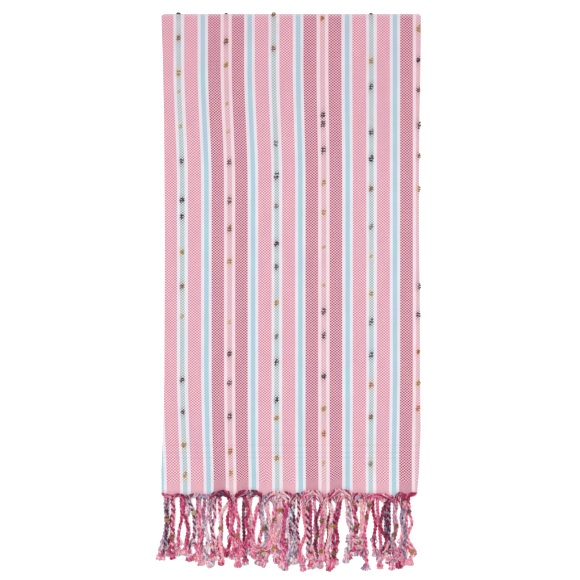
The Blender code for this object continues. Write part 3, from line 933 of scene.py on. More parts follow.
def yarn_material(name, stops, wander, length, crease_shade_colour):
    """A yarn whose colour wanders along a ramp over about this length, with painted crease shade.
    """
    paint, shader, start = new_material(name, 0.85, sheen=0.1)
    place = start.node("ShaderNodeUVMap", {"uv_map": "yarn"})
    dye = start.node("ShaderNodeAttribute", {"attribute_name": "dye"}, output=1)
    along = place.part(1)
    spread = start.vector(along / length, dye.part(1) * SPREAD_APART).noise()
    ring_place = (dye.part(0) + (spread - 0.5) * wander) % 1.0
    fibre = (place.part(0) * 2 + along / FIBRE_TURN).wave(1.0)
    speck_place = start.vector(along / SPECK_LENGTH, dye.part(1) * SPECKS_APART, place.part(0))
    speck = speck_place.noise(detail=1.0) - 0.5
    # painted shade: darker between the fibres, with random specks, towards the crease shade colour
    shade = (0.5 - fibre * FIBRE_SHADE + speck * SPECK_SHADE).held() * CREASE_SHADE
    feed(shader, "Base Color", shade.mix(ring_place.colours(stops), crease_shade_colour))
    bump = {"Height": fibre, "Distance": 0.15 * MM, "Strength": 0.5}
    feed(shader, "Normal", start.node("ShaderNodeBump", None, bump))
    print(name, len(paint.node_tree.nodes), "nodes")
    return paint


# the last colour of each yarn is the painted shade in its creases
fringe_paint = yarn_material("space_dyed_yarn", FRINGE_STOPS, 0.75, 14 * MM, linear(80, 18, 50))
effect_paint = yarn_material("effect_yarn", EFFECT_STOPS, 0.2, 6 * MM, linear(64, 44, 34))

# %% [markdown]
# ## Winding the neps
#
# A nep is a slub that wound itself round its own thread: two or three loose turns with the weave
# showing between them, a little slanted, narrower at both ends. It sits half sunk in the weave, so
# it is placed on the surface with its long way along the warp. At the fold and along the right side
# it stands out over the edge.

# %% One nep's windings
NEP_STEPS = 34
NEP_WIDE, NEP_TALL, NEP_LONG = 2.9 * MM, 1.2 * MM, 8.0 * MM
NEP_RADIUS, FAINT_RADIUS, CORD_NEP_RADIUS = 0.82 * MM, 0.6 * MM, 0.95 * MM
FAINT_SIZE = 0.8
NEP_TURNS = 2.0, 2.5, 2.5, 2.5              # most have two and a half
chance = random.Random(11)


def wound_nep(size):
    """A nep's strand round its own middle: X across, Y along the warp, Z up."""
    share = np.linspace(0, 1, NEP_STEPS)
    turns = chance.choice(NEP_TURNS)
    turn = 2 * math.pi * turns * share + chance.uniform(0, 6)
    belly = 0.5 + 0.5 * np.sin(math.pi * share) ** 0.6
    belly = belly * (1 + 0.16 * np.sin(turn * 0.37 + chance.uniform(0, 6)))
    wide, tall = NEP_WIDE * size * chance.uniform(0.85, 1.15), NEP_TALL * size
    length = NEP_LONG * size * chance.uniform(0.8, 1.2)
    slant = length / (4 * turns * wide) + chance.uniform(-0.15, 0.15)
    x = wide * belly * np.cos(turn)
    y = length * (share - 0.5) + slant * x
    return np.stack([x, y, tall * belly * np.sin(turn)], axis=1)


def tone_dye(tone):
    """The dye of a tone, kept off the ramp's ends so that it can wander."""
    return EFFECT_YARN[tone][0] * 0.86 + 0.07


# %% A seat on the cloth
NEP_RISE = 0.3 * MM                         # how high a nep's middle is above the cloth's face
EDGE_REACH = 2.2 * MM                       # a nep closer to the right edge than this hangs over it
EDGE_INSET, EDGE_DROP = 0.2 * MM, 0.6 * MM  # where it then sits, from the panel's edge and face
TIPPED_SIDE, TIPPED_OUT = np.array([0.6, 0.0, -0.8]), np.array([0.8, 0.0, 0.6])


def nep_seat(stripe, distance):
    """The point on the cloth's outer face for a nep, and the directions across, along and out."""
    y = TURN_Y - (distance * MM - FOLD_HALF)
    turn = min(1.0, max(0.0, 1 - distance * MM / FOLD_HALF)) * math.pi / 2
    y = min(y, TURN_Y) + FOLD_RADIUS * math.sin(turn)
    right = side_edges(y)[1]
    x = float(panel_place(FIRST_STRIPE + stripe * COLUMN, y))
    z = TOP_Z - FOLD_RADIUS * (1 - math.cos(turn)) + float(swell(x, y))
    out = np.array([0.0, math.sin(turn), math.cos(turn)])
    down = np.array([0.0, math.cos(turn), -math.sin(turn)])
    side = np.array([1.0, 0.0, 0.0])
    if x > right - EDGE_REACH:
        x, z = right - EDGE_INSET, z - EDGE_DROP
        side, out = TIPPED_SIDE, TIPPED_OUT
    seat = np.array([x, y, z]) + out * (SHEET_THICK / 2 + NEP_RISE)
    return seat, np.stack([side, down, out])


print("a nep on the fold faces", nep_seat(GREEN_COLUMN, 0)[1][2].round(3).tolist())

# %% Set the neps on the cloth
cloth_nep_strands = []
for stripe, row in NEPS.items():
    for distance, tone, size in row:
        seat, directions = nep_seat(stripe, distance)
        line = seat + wound_nep(size or FAINT_SIZE) @ directions
        thick = NEP_RADIUS * chance.uniform(0.9, 1.1) if size else FAINT_RADIUS
        dye = tone_dye(tone) + chance.uniform(-0.03, 0.03)
        cloth_nep_strands.append((line, np.full(NEP_STEPS, thick), dye))
cloth_neps = strand_object("cloth_neps", cloth_nep_strands, 6, effect_paint)

# %% [markdown]
# ## Laying out the tassels
#
# Each end has 34 tassels: 16 on the panel and 9 on each flap behind it. The warp ends of about
# 25 mm of cloth are gathered into each one. The cords slip together in loose bunches with bare gaps
# between them. This layout is worked out in the same way, with the same sizes and the same random
# numbers, as in the CAD file, so each cord lies close to its solid.

# %% Sizes of the fringe, as in the CAD towel
STRIP_DEEP, STRIP_GAP = 4.5 * MM, 0.3 * MM
TASSEL_SIZE, NECK_SIZE = (7.0 * MM, 4.8 * MM), (4.8 * MM, 2.0 * MM)
KNOT_SIZE, TUFT_SIZE = (10.0 * MM, 6.4 * MM), (8.0 * MM, 4.0 * MM)
TASSEL_GAP = 0.4 * MM
SHORTEST_TASSEL, LONGEST_TASSEL = 105 * MM, 128 * MM
STEEPEST_SLOPE = 0.2
WANDER, BENDS, NUDGES = 2.4 * MM, (1.0, 2.2), 400
DEPTHS = [depth * MM for depth in (11, 26, 43, 60, 77, 85, 93, 101, 109, 117, 125, 133)]
HALFWAY = 62 * MM
BUNCHES = (
    # left and right side halfway down, then at the tips, in millimetres
    (-211, -179, -218, -179),
    (-173, -111, -176, -109),
    (-103, -55, -93, -61),
    (-50, 13, -55, 9),
    (17, 75, 13, 77),
    (86, 121, 80, 121),
    (133, 169, 133, 168),
    (173, 194, 173, 200),
)
TASSEL_ROWS = (
    # stretch, tassels, lower end's first, upper end's first, depth in the stack
    ("panel", 16, 0.64, 0.90, 0.0),
    ("left_flap", 9, 0.20, FIRST_LEFT, 2 * LAYER_PITCH),
    ("right_flap", 9, 0.75, FIRST_RIGHT, LAYER_PITCH),
)
print("bunches:", len(BUNCHES))


# %% Roots and bunches
def tassel_roots(upper):
    """(root X, stretch, depth) of each tassel of one end, from left to right."""
    inside = 0.0 if upper else HIDDEN_SIDE_STEP
    left, right = END_LEFT + inside, END_RIGHT - inside
    roots = []
    for stretch, count, first_lower, first_upper, depth in TASSEL_ROWS:
        for index in range(count):
            away = ((first_upper if upper else first_lower) + index) * TASSEL_PITCH
            x = right - away if stretch == "right_flap" else left + away
            roots.append((float(x), stretch, depth))
    return sorted(roots)


def in_bunch(root_x, first):
    """Where a tassel lies in its bunch, by its root: halfway down (first 0) or at its tip (2)."""
    borders = [(one[1] + two[0]) / 2 * MM for one, two in zip(BUNCHES, BUNCHES[1:])]
    for row, start, end in zip(BUNCHES, [END_LEFT, *borders], [*borders, END_RIGHT]):
        if root_x <= end:
            break
    low, high = row[first] * MM + TASSEL_SIZE[0] / 2, row[first + 1] * MM - TASSEL_SIZE[0] / 2
    return low + (high - low) * (root_x - start) / (end - start)


print("tassels of one end:", len(tassel_roots(True)))


# %% One end's tassels side by side
def tassel_layout(upper, layout_chance):
    """One dict for each tassel of an end, with the X of each of its sections."""
    tassels = []
    for root_x, stretch, depth in tassel_roots(upper):
        reach = SHORTEST_TASSEL + (LONGEST_TASSEL - SHORTEST_TASSEL) * layout_chance.random()
        tassels.append({
            "root_x": root_x,
            "upper": upper,
            "stretch": stretch,
            "root_z": (TOP_Z - depth) if upper else (CAD_HALF_THICK + depth),
            "reach": reach,
            "halfway_x": in_bunch(root_x, 0),
            "tip_x": in_bunch(root_x, 2),
            "wander": layout_chance.uniform(-WANDER, WANDER),
            "bends": layout_chance.uniform(*BENDS),
            "last": next(index for index, depth in enumerate(DEPTHS) if depth >= reach),
        })
    push_apart(tassels)
    return tassels


def wished_x(tassel, depth):
    """Where a tassel's middle would be at this depth if it had no neighbours."""
    halfway = tassel["root_x"] + (tassel["halfway_x"] - tassel["root_x"]) * ease(depth / HALFWAY)
    sway = tassel["wander"] * math.sin(math.pi * tassel["bends"] * depth / tassel["reach"])
    return float(halfway + (tassel["tip_x"] - halfway) * ease((depth - HALFWAY) / HALFWAY) + sway)


# %% Room for each tassel beside its neighbours
def tassel_size(tassel, index):
    """Width and height at one of DEPTHS."""
    knot = tassel["last"] - 2
    return (
        NECK_SIZE if index == 0
        else KNOT_SIZE if index == knot
        else TUFT_SIZE if index > knot
        else TASSEL_SIZE
    )


def push_apart(tassels):
    """Moves neighbours until none of them touch."""
    for tassel in tassels:
        tassel["x"] = [wished_x(tassel, depth) for depth in DEPTHS[:tassel["last"] + 1]]
    for index in range(len(DEPTHS)):
        row = [tassel for tassel in tassels if index < len(tassel["x"])]
        for _ in range(NUDGES):
            for one, two in zip(row, row[1:]):
                apart = (tassel_size(one, index)[0] + tassel_size(two, index)[0]) / 2 + TASSEL_GAP
                short = apart - (two["x"][index] - one["x"][index])
                if short > 0:
                    one["x"][index] -= short / 2
                    two["x"][index] += short / 2


# %% Heights: on the floor, or on the tassels underneath
def span(tassel, index):
    """The stretch of X that a tassel takes up round this section."""
    sides = []
    for near in range(max(index - 1, 0), min(index + 2, len(tassel["x"]))):
        half = tassel_size(tassel, near)[0] / 2 + TASSEL_GAP / 2
        sides += [tassel["x"][near] - half, tassel["x"][near] + half]
    return min(sides), max(sides)


def settle(tassels, under):
    """Gives each tassel its heights, which fall no steeper than a cord does."""
    for tassel in tassels:
        count = len(tassel["x"])
        tassel["spans"] = [span(tassel, index) for index in range(count)]
        rests = [(STRIP_GAP + STRIP_DEEP, tassel["root_z"] - CAD_HALF_THICK)]
        for index, (low, high) in enumerate(tassel["spans"]):
            tops = [
                other["top"][index] + TASSEL_GAP
                for other in under
                if index < len(other["top"])
                and other["spans"][index][0] < high
                and low < other["spans"][index][1]
            ]
            rests.append((DEPTHS[index], max(tops, default=0.0)))
        base = [
            max(0.0, max(z - STEEPEST_SLOPE * abs(depth - DEPTHS[index]) for depth, z in rests))
            for index in range(count)
        ]
        tassel["middle"] = [z + tassel_size(tassel, i)[1] / 2 for i, z in enumerate(base)]
        tassel["top"] = [z + tassel_size(tassel, i)[1] for i, z in enumerate(base)]


layout_chance = random.Random(7)
lower_tassels = tassel_layout(False, layout_chance)
upper_tassels = tassel_layout(True, layout_chance)
settle(lower_tassels, [])
settle(upper_tassels, lower_tassels)
print(len(lower_tassels) + len(upper_tassels), "tassels")

# %% [markdown]
# ## A dye for each strand
#
# The strands of a tassel are the warps of the cloth above it, so a strand's dye is chosen by the
# stripe that it comes from: mostly crimson and pink under the pink stripes, grey-blue and white
# under the blue ones. Which of them a strand gets is left to chance.

# %% Dyes by stripe
DYES = {
    "light_pink": (0.02, 0.08, 0.13, 0.19, 0.26, 0.36, 0.47, 0.60, 0.72),
    "dark": (0.00, 0.04, 0.08, 0.12, 0.17, 0.24, 0.32, 0.44, 0.80),
    "white": (0.45, 0.54, 0.66, 0.74, 0.30),
    "pale": (0.45, 0.54, 0.61, 0.36, 0.12),
    "blue": (0.77, 0.84, 0.99, 0.68, 0.34),
    "green_nep": (0.88, 0.82, 0.66, 0.06, 0.38),
    "pink_nep": (0.34, 0.45, 0.61, 0.10),
}


def dye_at(x):
    """A dye for a warp that leaves the cloth at this X."""
    return chance.choice(DYES[stripe_at(float(x - lean(x, -FOLD_Y)))])


print("the tassels draw from", sum(len(dyes) for dyes in DYES.values()), "dyes")

# %% [markdown]
# A cord's line follows the middles of its solid's sections. It is bent softly, so the line between
# two sections is a curve through both and their neighbours.

# %% Smooth lines through a tassel's sections
def smooth_line(points, count):
    """Evenly spaced points on one smooth curve through all of these points, and their run."""
    points = np.asarray(points, float)
    ends = np.vstack([2 * points[0] - points[1], points, 2 * points[-1] - points[-2]])
    t = np.linspace(0, 1, 13)[:-1, None]
    curves = []
    for a, b, c, d in zip(ends, ends[1:], ends[2:], ends[3:]):
        second, third = 2 * a - 5 * b + 4 * c - d, 3 * b - a - 3 * c + d
        curves.append(0.5 * (2 * b + (c - a) * t + second * t**2 + third * t**3))
    dense = np.vstack([*curves, points[-1:]])
    run = np.concatenate([[0], np.linalg.norm(np.diff(dense, axis=0), axis=1).cumsum()])
    even = np.linspace(0, run[-1], count)
    return np.stack([np.interp(even, run, dense[:, axis]) for axis in range(3)], axis=1), even


# %% Where each cord starts
ROOT_DROP, RIGHT_ROOT_DROP = 4 * MM, 9 * MM     # how far below the woven end its line starts
NECK_REACH, NECK_HALF = 12 * MM, 3.2 * MM       # how far a neck draws, and its half width


def in_front(tassel):
    """Whether a tassel hangs from the front panel."""
    return tassel["upper"] and tassel["stretch"] == "panel"


def hidden_end(tassel, x):
    """The Y of the woven end at this X, on the layer that a hidden tassel hangs from."""
    if not tassel["upper"]:
        return float(woven_end(x))
    edge = END_RIGHT if tassel["stretch"] == "right_flap" else END_LEFT
    return float(flap_end(x, edge - tassel["root_x"]))


def start_of(tassel):
    """Where a cord leaves the cloth: at a neck of the panel, or at its own root elsewhere."""
    x, z = tassel["root_x"], tassel["root_z"]
    if not in_front(tassel):
        low = tassel["upper"] and tassel["stretch"] == "right_flap"
        return x, hidden_end(tassel, x) - (RIGHT_ROOT_DROP if low else ROOT_DROP), z
    inner = NECKS[1:-1]
    neck = inner[np.argmin(np.abs(inner[:, 0] - x))]
    side = np.clip((x - neck[0]) / NECK_REACH, -1, 1) * NECK_HALF
    return float(neck[0] + side), float(-FOLD_Y - neck[1] - ROOT_DROP), z + 0.6 * MM


print("cords in front:", sum(in_front(tassel) for tassel in upper_tassels))

# %% Gaps that cords close and sides where they swing out
CLOSING, CLOSING_REACH = 0.65, 14 * MM
LEFT_FLARE, RIGHT_FLARE = (-186 * MM, 6.0), (180 * MM, 3.0)     # beyond this X, this many mm
FLARE_WIDE, FLARE_FROM, FLARE_RUN = 14 * MM, 50 * MM, 60 * MM   # how softly, and at which depths
CLOSER = {
    # where cords lie closer together than their solids, for the upper end and for the lower one
    True: (-104 * MM, -59 * MM),
    False: (-175 * MM, -107 * MM, -98 * MM, -53 * MM, 129 * MM, 171 * MM),
}


def close_up(x, upper):
    """How far a cord moves towards the middle of the nearest of these gaps."""
    return sum(
        CLOSING * (gap - x) * math.exp(-(((x - gap) / CLOSING_REACH) ** 2)) for gap in CLOSER[upper]
    )


def outer_flare(x, depth):
    """How far the outermost cords of both sides swing outwards near their tips."""
    left = ease((LEFT_FLARE[0] - x) / FLARE_WIDE)
    right = ease((x - RIGHT_FLARE[0]) / FLARE_WIDE)
    outwards = (RIGHT_FLARE[1] * right - LEFT_FLARE[1] * left) * MM
    return float(outwards * ease((depth - FLARE_FROM) / FLARE_RUN))


print("at their tips the outer cords swing out by", [
    round(outer_flare(x * MM, LONGEST_TASSEL) / MM, 1) for x in (-210, 200)
], "mm")

# %% The line of a cord
ASIDE_FROM, ASIDE_RUN = 4 * MM, 38 * MM         # at these depths a cord leaves its neck's line
CLOSER_FROM, CLOSER_RUN = 12 * MM, 30 * MM      # and at these it closes up with its neighbours
FIRST_STRETCH = 5 * MM                          # no section nearer to the start is used
CURLED_STEPS, CURL_LIFT = 24, 0.16 * MM         # how many last steps curl, and the last one's rise


def cord_line(tassel):
    """The middle of a cord, from the woven end to its knot."""
    x, y, z = tassel["start"] = start_of(tassel)
    points = [(x, y, z)]
    for index in range(tassel["last"] - 1):
        depth = DEPTHS[index]
        if -FOLD_Y - depth < y - FIRST_STRETCH:
            aside = (x - tassel["root_x"]) * (1 - ease((depth - ASIDE_FROM) / ASIDE_RUN))
            place = float(tassel["x"][index] + aside)
            closed = float(ease((depth - CLOSER_FROM) / CLOSER_RUN))
            place += close_up(place, tassel["upper"]) * closed
            place += outer_flare(place, depth)
            points.append((place, -FOLD_Y - depth, tassel["middle"][index]))
    return points


def curled(line, turns):
    """The same line with its last stretch curled up sideways."""
    kept, steps = line[:-CURLED_STEPS], np.diff(line[-CURLED_STEPS - 1:], axis=0)
    angle = 2 * math.pi * turns * ease(np.linspace(0, 1.6, CURLED_STEPS))
    bent = np.stack([
        steps[:, 0] * np.cos(angle) - steps[:, 1] * np.sin(angle),
        steps[:, 0] * np.sin(angle) + steps[:, 1] * np.cos(angle),
        np.linspace(0.0, CURL_LIFT, CURLED_STEPS),
    ], axis=1)
    return np.vstack([kept, kept[-1] + bent.cumsum(axis=0)])


# %% [markdown]
# ## Twisting the cords
#
# A fringe twister rolls two bunches of warps one way until they are tight, lays them together and
# lets them unwind round each other. So a cord is two plies that turn round each other once in
# about 11 mm, and each ply is three yarns that turn the other way. A twisted cord can be faked by
# a bump pattern, but real strands also give the scalloped outline and the shadows between plies.

# %% Cords
CORD_STEPS = 81
PLY_SWING = np.array([1.5, 1.1]) * MM      # how far a ply swings sideways and up
YARN_SWING = np.array([0.78, 0.64]) * MM
YARN_RADIUS = 0.88 * MM
YARNS = 3                                   # in each ply, and in each knot
CURLS = {3: 0.9, 11: -0.8, 27: 0.7}         # a few tips of the upper end curl into a ring
SWAY = 2.1 * MM
SHORT_BENDS, LONG_BENDS = (5.5, 9), (12, 20)            # between these lengths, in mm
LOOSE_RUN, LOOSER_RUN = 25 * MM, 120 * MM               # how soon the bends come, and widen


def swayed(line, run):
    """The line of a cord that lies in loose bends, wider near its tip."""
    first, length = chance.uniform(-SWAY, SWAY), chance.uniform(*SHORT_BENDS)
    sway = first * np.sin(run / (length * MM) + chance.uniform(0, 6))
    sway = sway + chance.uniform(-SWAY, SWAY) * np.sin(run / (chance.uniform(*LONG_BENDS) * MM))
    line[:, 0] += sway * ease(run / LOOSE_RUN) * (1 + 0.8 * ease(run / LOOSER_RUN))
    return line


# %% The yarns of a cord
FIRST_DYE_REACH = 9.0                       # a cord's first dye is that of a warp this near, in mm
SECOND_DYE_SHIFT, YARN_DYE_SHIFT = 0.13, 0.09
FREE_SECOND_DYE = 0.45                      # the share of cords whose second ply is another dye
SECOND_PLY_DYES = (0.04, 0.12, 0.24, 0.34, 0.42, 0.48, 0.52, 0.60, 0.66, 0.72, 0.86)
PLY_TURN, YARN_TURN = (9.5, 12), (6.5, 9)   # between these lengths, in mm
PLUMP = 1.0, 1.25                           # the thinnest and the thickest cord
THICK_RUNS = 4, 9                           # how often a yarn swells and thins, in mm


def ply_dyes(root_x):
    """The dyes of a cord's two plies."""
    first = dye_at(root_x + chance.uniform(-FIRST_DYE_REACH, FIRST_DYE_REACH) * MM)
    second = first + chance.uniform(-SECOND_DYE_SHIFT, SECOND_DYE_SHIFT)
    if chance.random() < FREE_SECOND_DYE:
        second = chance.choice(SECOND_PLY_DYES)
    return first, second


def cord_strands(tassel):
    """The six yarns of a cord."""
    line, run = smooth_line(cord_line(tassel), CORD_STEPS)
    line = swayed(line, run)
    index = upper_tassels.index(tassel) if tassel["upper"] else -1
    if index in CURLS:
        line = curled(line, CURLS[index])
    tassel["line"] = line
    ahead = unit(np.gradient(line, axis=0))
    side = unit(np.cross(ahead, UP))
    rise = np.cross(side, ahead)
    ply_turn, yarn_turn = chance.uniform(*PLY_TURN) * MM, chance.uniform(*YARN_TURN) * MM
    phase, plump = chance.uniform(0, 2 * math.pi), chance.uniform(*PLUMP)
    grow = 0.5 + 0.5 * ease(run / (14 * MM))
    strands = []
    for ply, ply_dye in enumerate(ply_dyes(tassel["root_x"])):
        ply_angle = 2 * math.pi * run / ply_turn + phase + math.pi * ply
        for yarn in range(YARNS):
            yarn_angle = -2 * math.pi * run / yarn_turn + phase + 2 * math.pi * yarn / YARNS
            swing_x = PLY_SWING[0] * np.cos(ply_angle) + YARN_SWING[0] * np.cos(yarn_angle)
            swing_z = PLY_SWING[1] * np.sin(ply_angle) + YARN_SWING[1] * np.sin(yarn_angle)
            thick_run, thick_phase = chance.uniform(*THICK_RUNS) * MM, chance.uniform(0, 6)
            thick = 1 + 0.15 * np.sin(run / thick_run + thick_phase)
            swing = side * swing_x[:, None] + rise * swing_z[:, None]
            radii = YARN_RADIUS * plump * thick * (0.75 + 0.25 * grow)
            dye = ply_dye + chance.uniform(-YARN_DYE_SHIFT, YARN_DYE_SHIFT)
            strands.append((line + plump * grow[:, None] * swing, radii, dye))
    return strands


# %% The cords of both ends
def for_both_ends(kind, strands_of, sides):
    """The upper fringe's piece and the lower one's, of the strands of each of their tassels."""
    return [
        strand_object(f"{end}_fringe_{kind}", gather(tassels, strands_of), sides, fringe_paint)
        for end, tassels in (("upper", upper_tassels), ("lower", lower_tassels))
    ]


upper_cords, lower_cords = for_both_ends("cords", cord_strands, 6)
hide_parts("fringe_upper")
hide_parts("fringe_lower")

# %% [markdown]
# ## Where the warps gather
#
# At the woven end the warps are pulled together into necks, and one to three cords hang from each.
# Warps from the middle between two necks run almost along the cloth's edge before they turn down,
# so the edge looks like a row of arches with a crimson rim. Each warp is one strand: it starts
# inside the cloth's edge, runs in its own lane below it to the neck, and ends inside a cord.

# %% One gathered warp
GATHER_STEPS = 13
RIM_DYES = (
    # from the left: where a stretch of the rim ends, and the dyes in it
    (-178, (0.10, 0.16, 0.22, 0.45)), (-156, (0.98, 0.02, 0.06, 0.10, 0.16)),
    (-131, (0.72, 0.78, 0.84, 0.88, 0.14)), (-96, (0.97, 0.0, 0.03, 0.06, 0.10, 0.20)),
    (-48, (0.98, 0.02, 0.06, 0.10, 0.14, 0.20)), (-30, (0.80, 0.85, 0.90, 0.96, 0.30)),
    (-14, (0.58, 0.61, 0.64, 0.67, 0.20)), (4, (0.98, 0.04, 0.10, 0.16)),
    (19, (0.84, 0.90, 0.96, 0.99, 0.10)), (92, (0.10, 0.16, 0.34, 0.48, 0.56, 0.66, 0.72)),
    (118, (0.84, 0.90, 0.66, 0.14, 0.24)), (154, (0.14, 0.20, 0.36, 0.50, 0.64)),
    (172, (0.97, 0.0, 0.92, 0.06, 0.14)), (230, (0.02, 0.08, 0.14, 0.20)),
)
RIM = 3.6 * MM                  # how thick the rim of gathered warps is
NECK_RISE = np.array([0.0, 0.0, 0.3 * MM])


def gathered_warp(start, lane, tassel):
    """A warp from the cloth's edge to a tassel's neck. lane is 0 beside it and 1 furthest away."""
    start, neck = np.array(start), tassel["start"] + NECK_RISE
    toward = neck[0] - start[0]
    side = math.copysign(1.0, -toward)
    low = RIM * lane * chance.uniform(0.35, 1.0)
    first = start + (0.12 * toward, -1.4 * MM - low, (0.3 + 0.7 * lane) * MM)
    near = neck + (side * 1.9 * MM, (1.0 - 2.6 * lane) * MM, chance.uniform(-0.3, 1.6) * MM)
    onto = tassel["line"][chance.randint(5, 10)].copy()
    onto += (side * chance.uniform(0.2, 1.6) * MM, 0.0, chance.uniform(-0.6, 1.4) * MM)
    return smooth_line([start, first, near, onto], GATHER_STEPS)[0]


def warp_dye(x, lane):
    """A rim warp has the dyes of its stretch, and a warp beside the neck those of its stripe."""
    here = next(dyes for end, dyes in RIM_DYES if x < end * MM)
    return chance.choice(here) if chance.random() < 0.45 + lane * 0.5 else dye_at(x)


# %% The panel's warps
WARP_STEP = 0.95 * MM
WIDEST_LANES = 14 * MM                      # half of the shortest arch that has all the lanes


def panel_warps():
    """Warps from all along the panel's woven end to its necks."""
    panel = [tassel for tassel in upper_tassels if in_front(tassel)]
    necks = [tassel["start"][0] for tassel in panel]
    strands = []
    for x in np.arange(END_LEFT + 0.8 * MM, END_RIGHT - 0.4 * MM, WARP_STEP):
        x = float(x) + chance.uniform(-0.4, 0.4) * MM
        after = int(np.clip(np.searchsorted(necks, x), 1, len(panel) - 1))
        gap = necks[after] - necks[after - 1]
        share = (x - necks[after - 1]) / gap + chance.uniform(-0.16, 0.16)
        index = after if share > 0.5 else after - 1
        lane = min(1.0, abs(x - necks[index]) / max(gap / 2, WIDEST_LANES))
        z = TOP_Z + float(swell(x, -FOLD_Y)) + chance.uniform(-0.1, 0.35) * MM
        start = (x, float(pulled_end(x)) + chance.uniform(0.6, 1.6) * MM, z)
        line = gathered_warp(start, lane, panel[index])
        thick = (chance.uniform(0.66, 0.86) + 0.25 * lane) * MM
        strands.append((line, thick * np.linspace(1, 0.8, GATHER_STEPS), warp_dye(x, lane)))
    return strands


# %% The warps of the layers under it, and all the gathered warps
FLAP_WARPS, HIDDEN_WARPS = 26, 10           # for each tassel of a flap and of the hidden half
WARP_SPREAD = 0.56                          # how far to each side they come from, in pitches


def hidden_warps(tassel):
    """The warps of a tassel that hangs from a flap or from the hidden half."""
    strands = []
    if in_front(tassel):
        return strands
    count = FLAP_WARPS if tassel["upper"] else HIDDEN_WARPS
    for index in range(count):
        spot = (index + 0.5) / count * 2 - 1
        x = tassel["root_x"] + spot * TASSEL_PITCH * WARP_SPREAD
        x = float(np.clip(x, END_LEFT + 1 * MM, END_RIGHT - 1 * MM))
        z = tassel["root_z"] + chance.uniform(0.0, 0.4) * MM
        line = gathered_warp((x, hidden_end(tassel, x) + 1 * MM, z), abs(spot), tassel)
        radii = np.full(GATHER_STEPS, chance.uniform(0.75, 1.05) * MM)
        strands.append((line, radii, warp_dye(x, abs(spot) * 0.75)))
    return strands


upper_root_strands = panel_warps() + gather(upper_tassels, hidden_warps)
upper_roots = strand_object("upper_fringe_roots", upper_root_strands, 4, fringe_paint)
lower_root_strands = gather(lower_tassels, hidden_warps)
lower_roots = strand_object("lower_fringe_roots", lower_root_strands, 4, fringe_paint)

# %% [markdown]
# ## Knots and frayed ends
#
# Each cord ends in an overhand knot, and below it the cut yarns fray into a small tuft. An
# overhand knot with its ends joined is a trefoil, which has a simple formula, so each knot is a
# ply of three yarns laid along a trefoil that is pressed flat. The tuft is a fan of short curved
# yarns that taper.

# %% Knots
KNOT_STEPS = 44
TREFOIL_SIZE = np.array([1.5, 1.35, 1.35]) * MM
KNOT_YARN_SWING, KNOT_YARN_RADIUS = 0.75 * MM, 0.92 * MM
KNOT_TWISTS = 5                             # how often its yarns turn round each other
NEXT_WARP = 6 * MM                          # where a knot's last yarn takes its dye from


def knot_dye(x):
    """Knots are paler than their cords, and closer to pink."""
    return 0.24 + 0.6 * dye_at(x)


def knot_frame(tassel):
    """The knot's middle, and the directions across, along the cord and up."""
    line = tassel["line"]
    ahead = unit(line[-1] - line[-6])
    side = unit(np.cross(ahead, UP))
    return line[-1], np.stack([side, ahead, np.cross(side, ahead)])


def knot_strands(tassel):
    """Three yarns that run together along a flattened trefoil."""
    middle, directions = knot_frame(tassel)
    t = np.linspace(0, 2 * math.pi, KNOT_STEPS) + chance.uniform(0, 6)
    trefoil_x, trefoil_y = np.sin(t) + 2 * np.sin(2 * t), np.cos(t) - 2 * np.cos(2 * t)
    trefoil = np.stack([trefoil_x, trefoil_y, -np.sin(3 * t)], axis=1)
    trefoil = trefoil * TREFOIL_SIZE * chance.uniform(0.85, 1.1)
    outward = unit(trefoil * (1, 1, 0.2))
    spin = 2 * math.pi * np.linspace(0, KNOT_TWISTS, KNOT_STEPS)
    first_dye = knot_dye(tassel["root_x"])
    strands = []
    for yarn in range(YARNS):
        turn = spin + 2 * math.pi * yarn / YARNS
        offset = outward * np.cos(turn)[:, None] + UP * np.sin(turn)[:, None]
        last = yarn == YARNS - 1
        dye = knot_dye(tassel["root_x"] + NEXT_WARP) if last else first_dye
        line = middle + (trefoil + KNOT_YARN_SWING * offset) @ directions
        strands.append((line, np.full(KNOT_STEPS, KNOT_YARN_RADIUS), dye))
    return strands


upper_knots, lower_knots = for_both_ends("knots", knot_strands, 6)

# %% Frayed tufts
TUFT_YARNS, TUFT_STEPS = 20, 9
TUFT_RADIUS, TUFT_START = 1.15 * MM, 1.5 * MM
TUFT_ROOM, LONG_TUFT_ROOM = 0.84, 0.28      # how much of its solid a tuft fills; a long one more
LOOSE_LOOPS = 6                             # yarns that stand off each cord above its knot
TUFT_DYES = (0.18, 0.33, 0.40, 0.46, 0.51, 0.55, 0.64, 0.68, 0.71, 0.74, 0.78)


def tuft_strands(tassel):
    """Short cut yarns that fan out below the knot, close together like a petal."""
    middle, directions = knot_frame(tassel)
    long = (tassel["reach"] - SHORTEST_TASSEL) / (LONGEST_TASSEL - SHORTEST_TASSEL)
    room = (tassel["reach"] - DEPTHS[tassel["last"] - 2]) * (TUFT_ROOM + LONG_TUFT_ROOM * long ** 3)
    share = np.linspace(0, 1, TUFT_STEPS)
    base, flare = chance.choice(TUFT_DYES), chance.uniform(3.4, 7.2) * MM
    strands = []
    for index in range(TUFT_YARNS):
        fan = (index + 0.5) / TUFT_YARNS * 2 - 1 + chance.uniform(-0.1, 0.1)
        length = room * chance.uniform(0.8, 1.05) * (1 - 0.22 * fan * fan)
        x = fan * (1.6 * MM + flare * share ** 0.8)
        z = chance.uniform(-1, 1) * (0.8 + 0.9 * share) * MM - 0.6 * MM * share
        down = TUFT_START + (length - TUFT_START) * share
        line = middle + np.stack([x, down, z], axis=1) @ directions
        radii = TUFT_RADIUS * (1 - 0.5 * share ** 2) * chance.uniform(0.8, 1.1)
        strands.append((line, radii, base + chance.uniform(-0.16, 0.15)))
    return strands + loose_loops(tassel, directions, base)


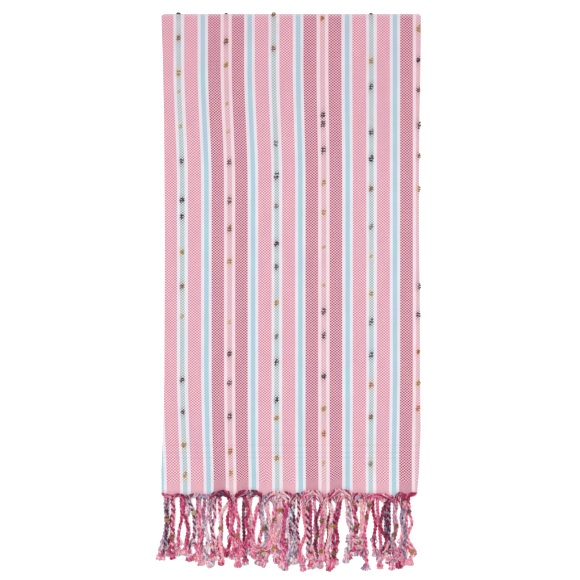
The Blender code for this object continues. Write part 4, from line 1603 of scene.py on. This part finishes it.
# %% Loose loops, and the tufts of both ends
def loose_loops(tassel, directions, base):
    """Yarns of a tuft's dye that stand off the cord in small loops above its knot."""
    side, _, up = directions
    rise = np.sin(math.pi * np.linspace(0, 1, TUFT_STEPS))[:, None]
    strands = []
    for _ in range(LOOSE_LOOPS):
        first = chance.randint(-26, -12)
        places = np.linspace(first, min(-1, first + chance.randint(8, 14)), TUFT_STEPS).astype(int)
        swing = chance.choice((-1, 1)) * chance.uniform(3.0, 6.0) * MM * side
        swing = swing + chance.uniform(0.0, 2.2) * MM * up
        radii = np.full(TUFT_STEPS, chance.uniform(0.75, 1.0) * MM)
        line = tassel["line"][places] + rise * swing
        strands.append((line, radii, base + chance.uniform(-0.14, 0.14)))
    return strands


upper_tufts, lower_tufts = for_both_ends("tufts", tuft_strands, 4)

# %% [markdown]
# ## Neps in the fringe
#
# The effect yarn goes on into the fringe, so a few cords carry a nep too. Each listed place takes
# the nearest point of a cord of the upper end, and the nep sits on top of it.

# %% Neps on the cords
FRINGE_NEPS = (
    # X and depth below the woven end, in millimetres, and tone
    (-198, 45, "gold"), (-196, 72, "brown"), (-161, 34, "ochre"), (-109, 58, "orange"),
    (-83, 70, "orange"), (-51, 60, "brown"), (-42, 108, "orange"), (-31, 45, "brown"),
    (-31, 90, "gold"), (-18, 29, "orange"), (29, 25, "brown"), (41, 72, "brown"),
    (47, 95, "orange"), (49, 46, "brown"), (63, 55, "gold"), (72, 54, "orange"),
    (74, 99, "brown"), (99, 56, "brown"), (100, 18, "orange"), (109, 81, "brown"),
    (124, 41, "brown"), (134, 21, "brown"), (163, 55, "brown"), (164, 69, "brown"),
    (189, 31, "plum"), (197, 96, "gold"),
)
spots = np.vstack([tassel["line"] for tassel in upper_tassels])
cord_nep_strands = []
for x, depth, tone in FRINGE_NEPS:
    wanted = np.array([x * MM, -FOLD_Y - depth * MM])
    spot = spots[np.argmin(np.linalg.norm(spots[:, :2] - wanted, axis=1))]
    line = spot + UP * 2.5 * MM + wound_nep(1.0) * (1.2, 0.8, 1.0)
    cord_nep_strands.append((line, np.full(NEP_STEPS, CORD_NEP_RADIUS), tone_dye(tone)))
fringe_neps = strand_object("fringe_neps", cord_nep_strands, 6, effect_paint)
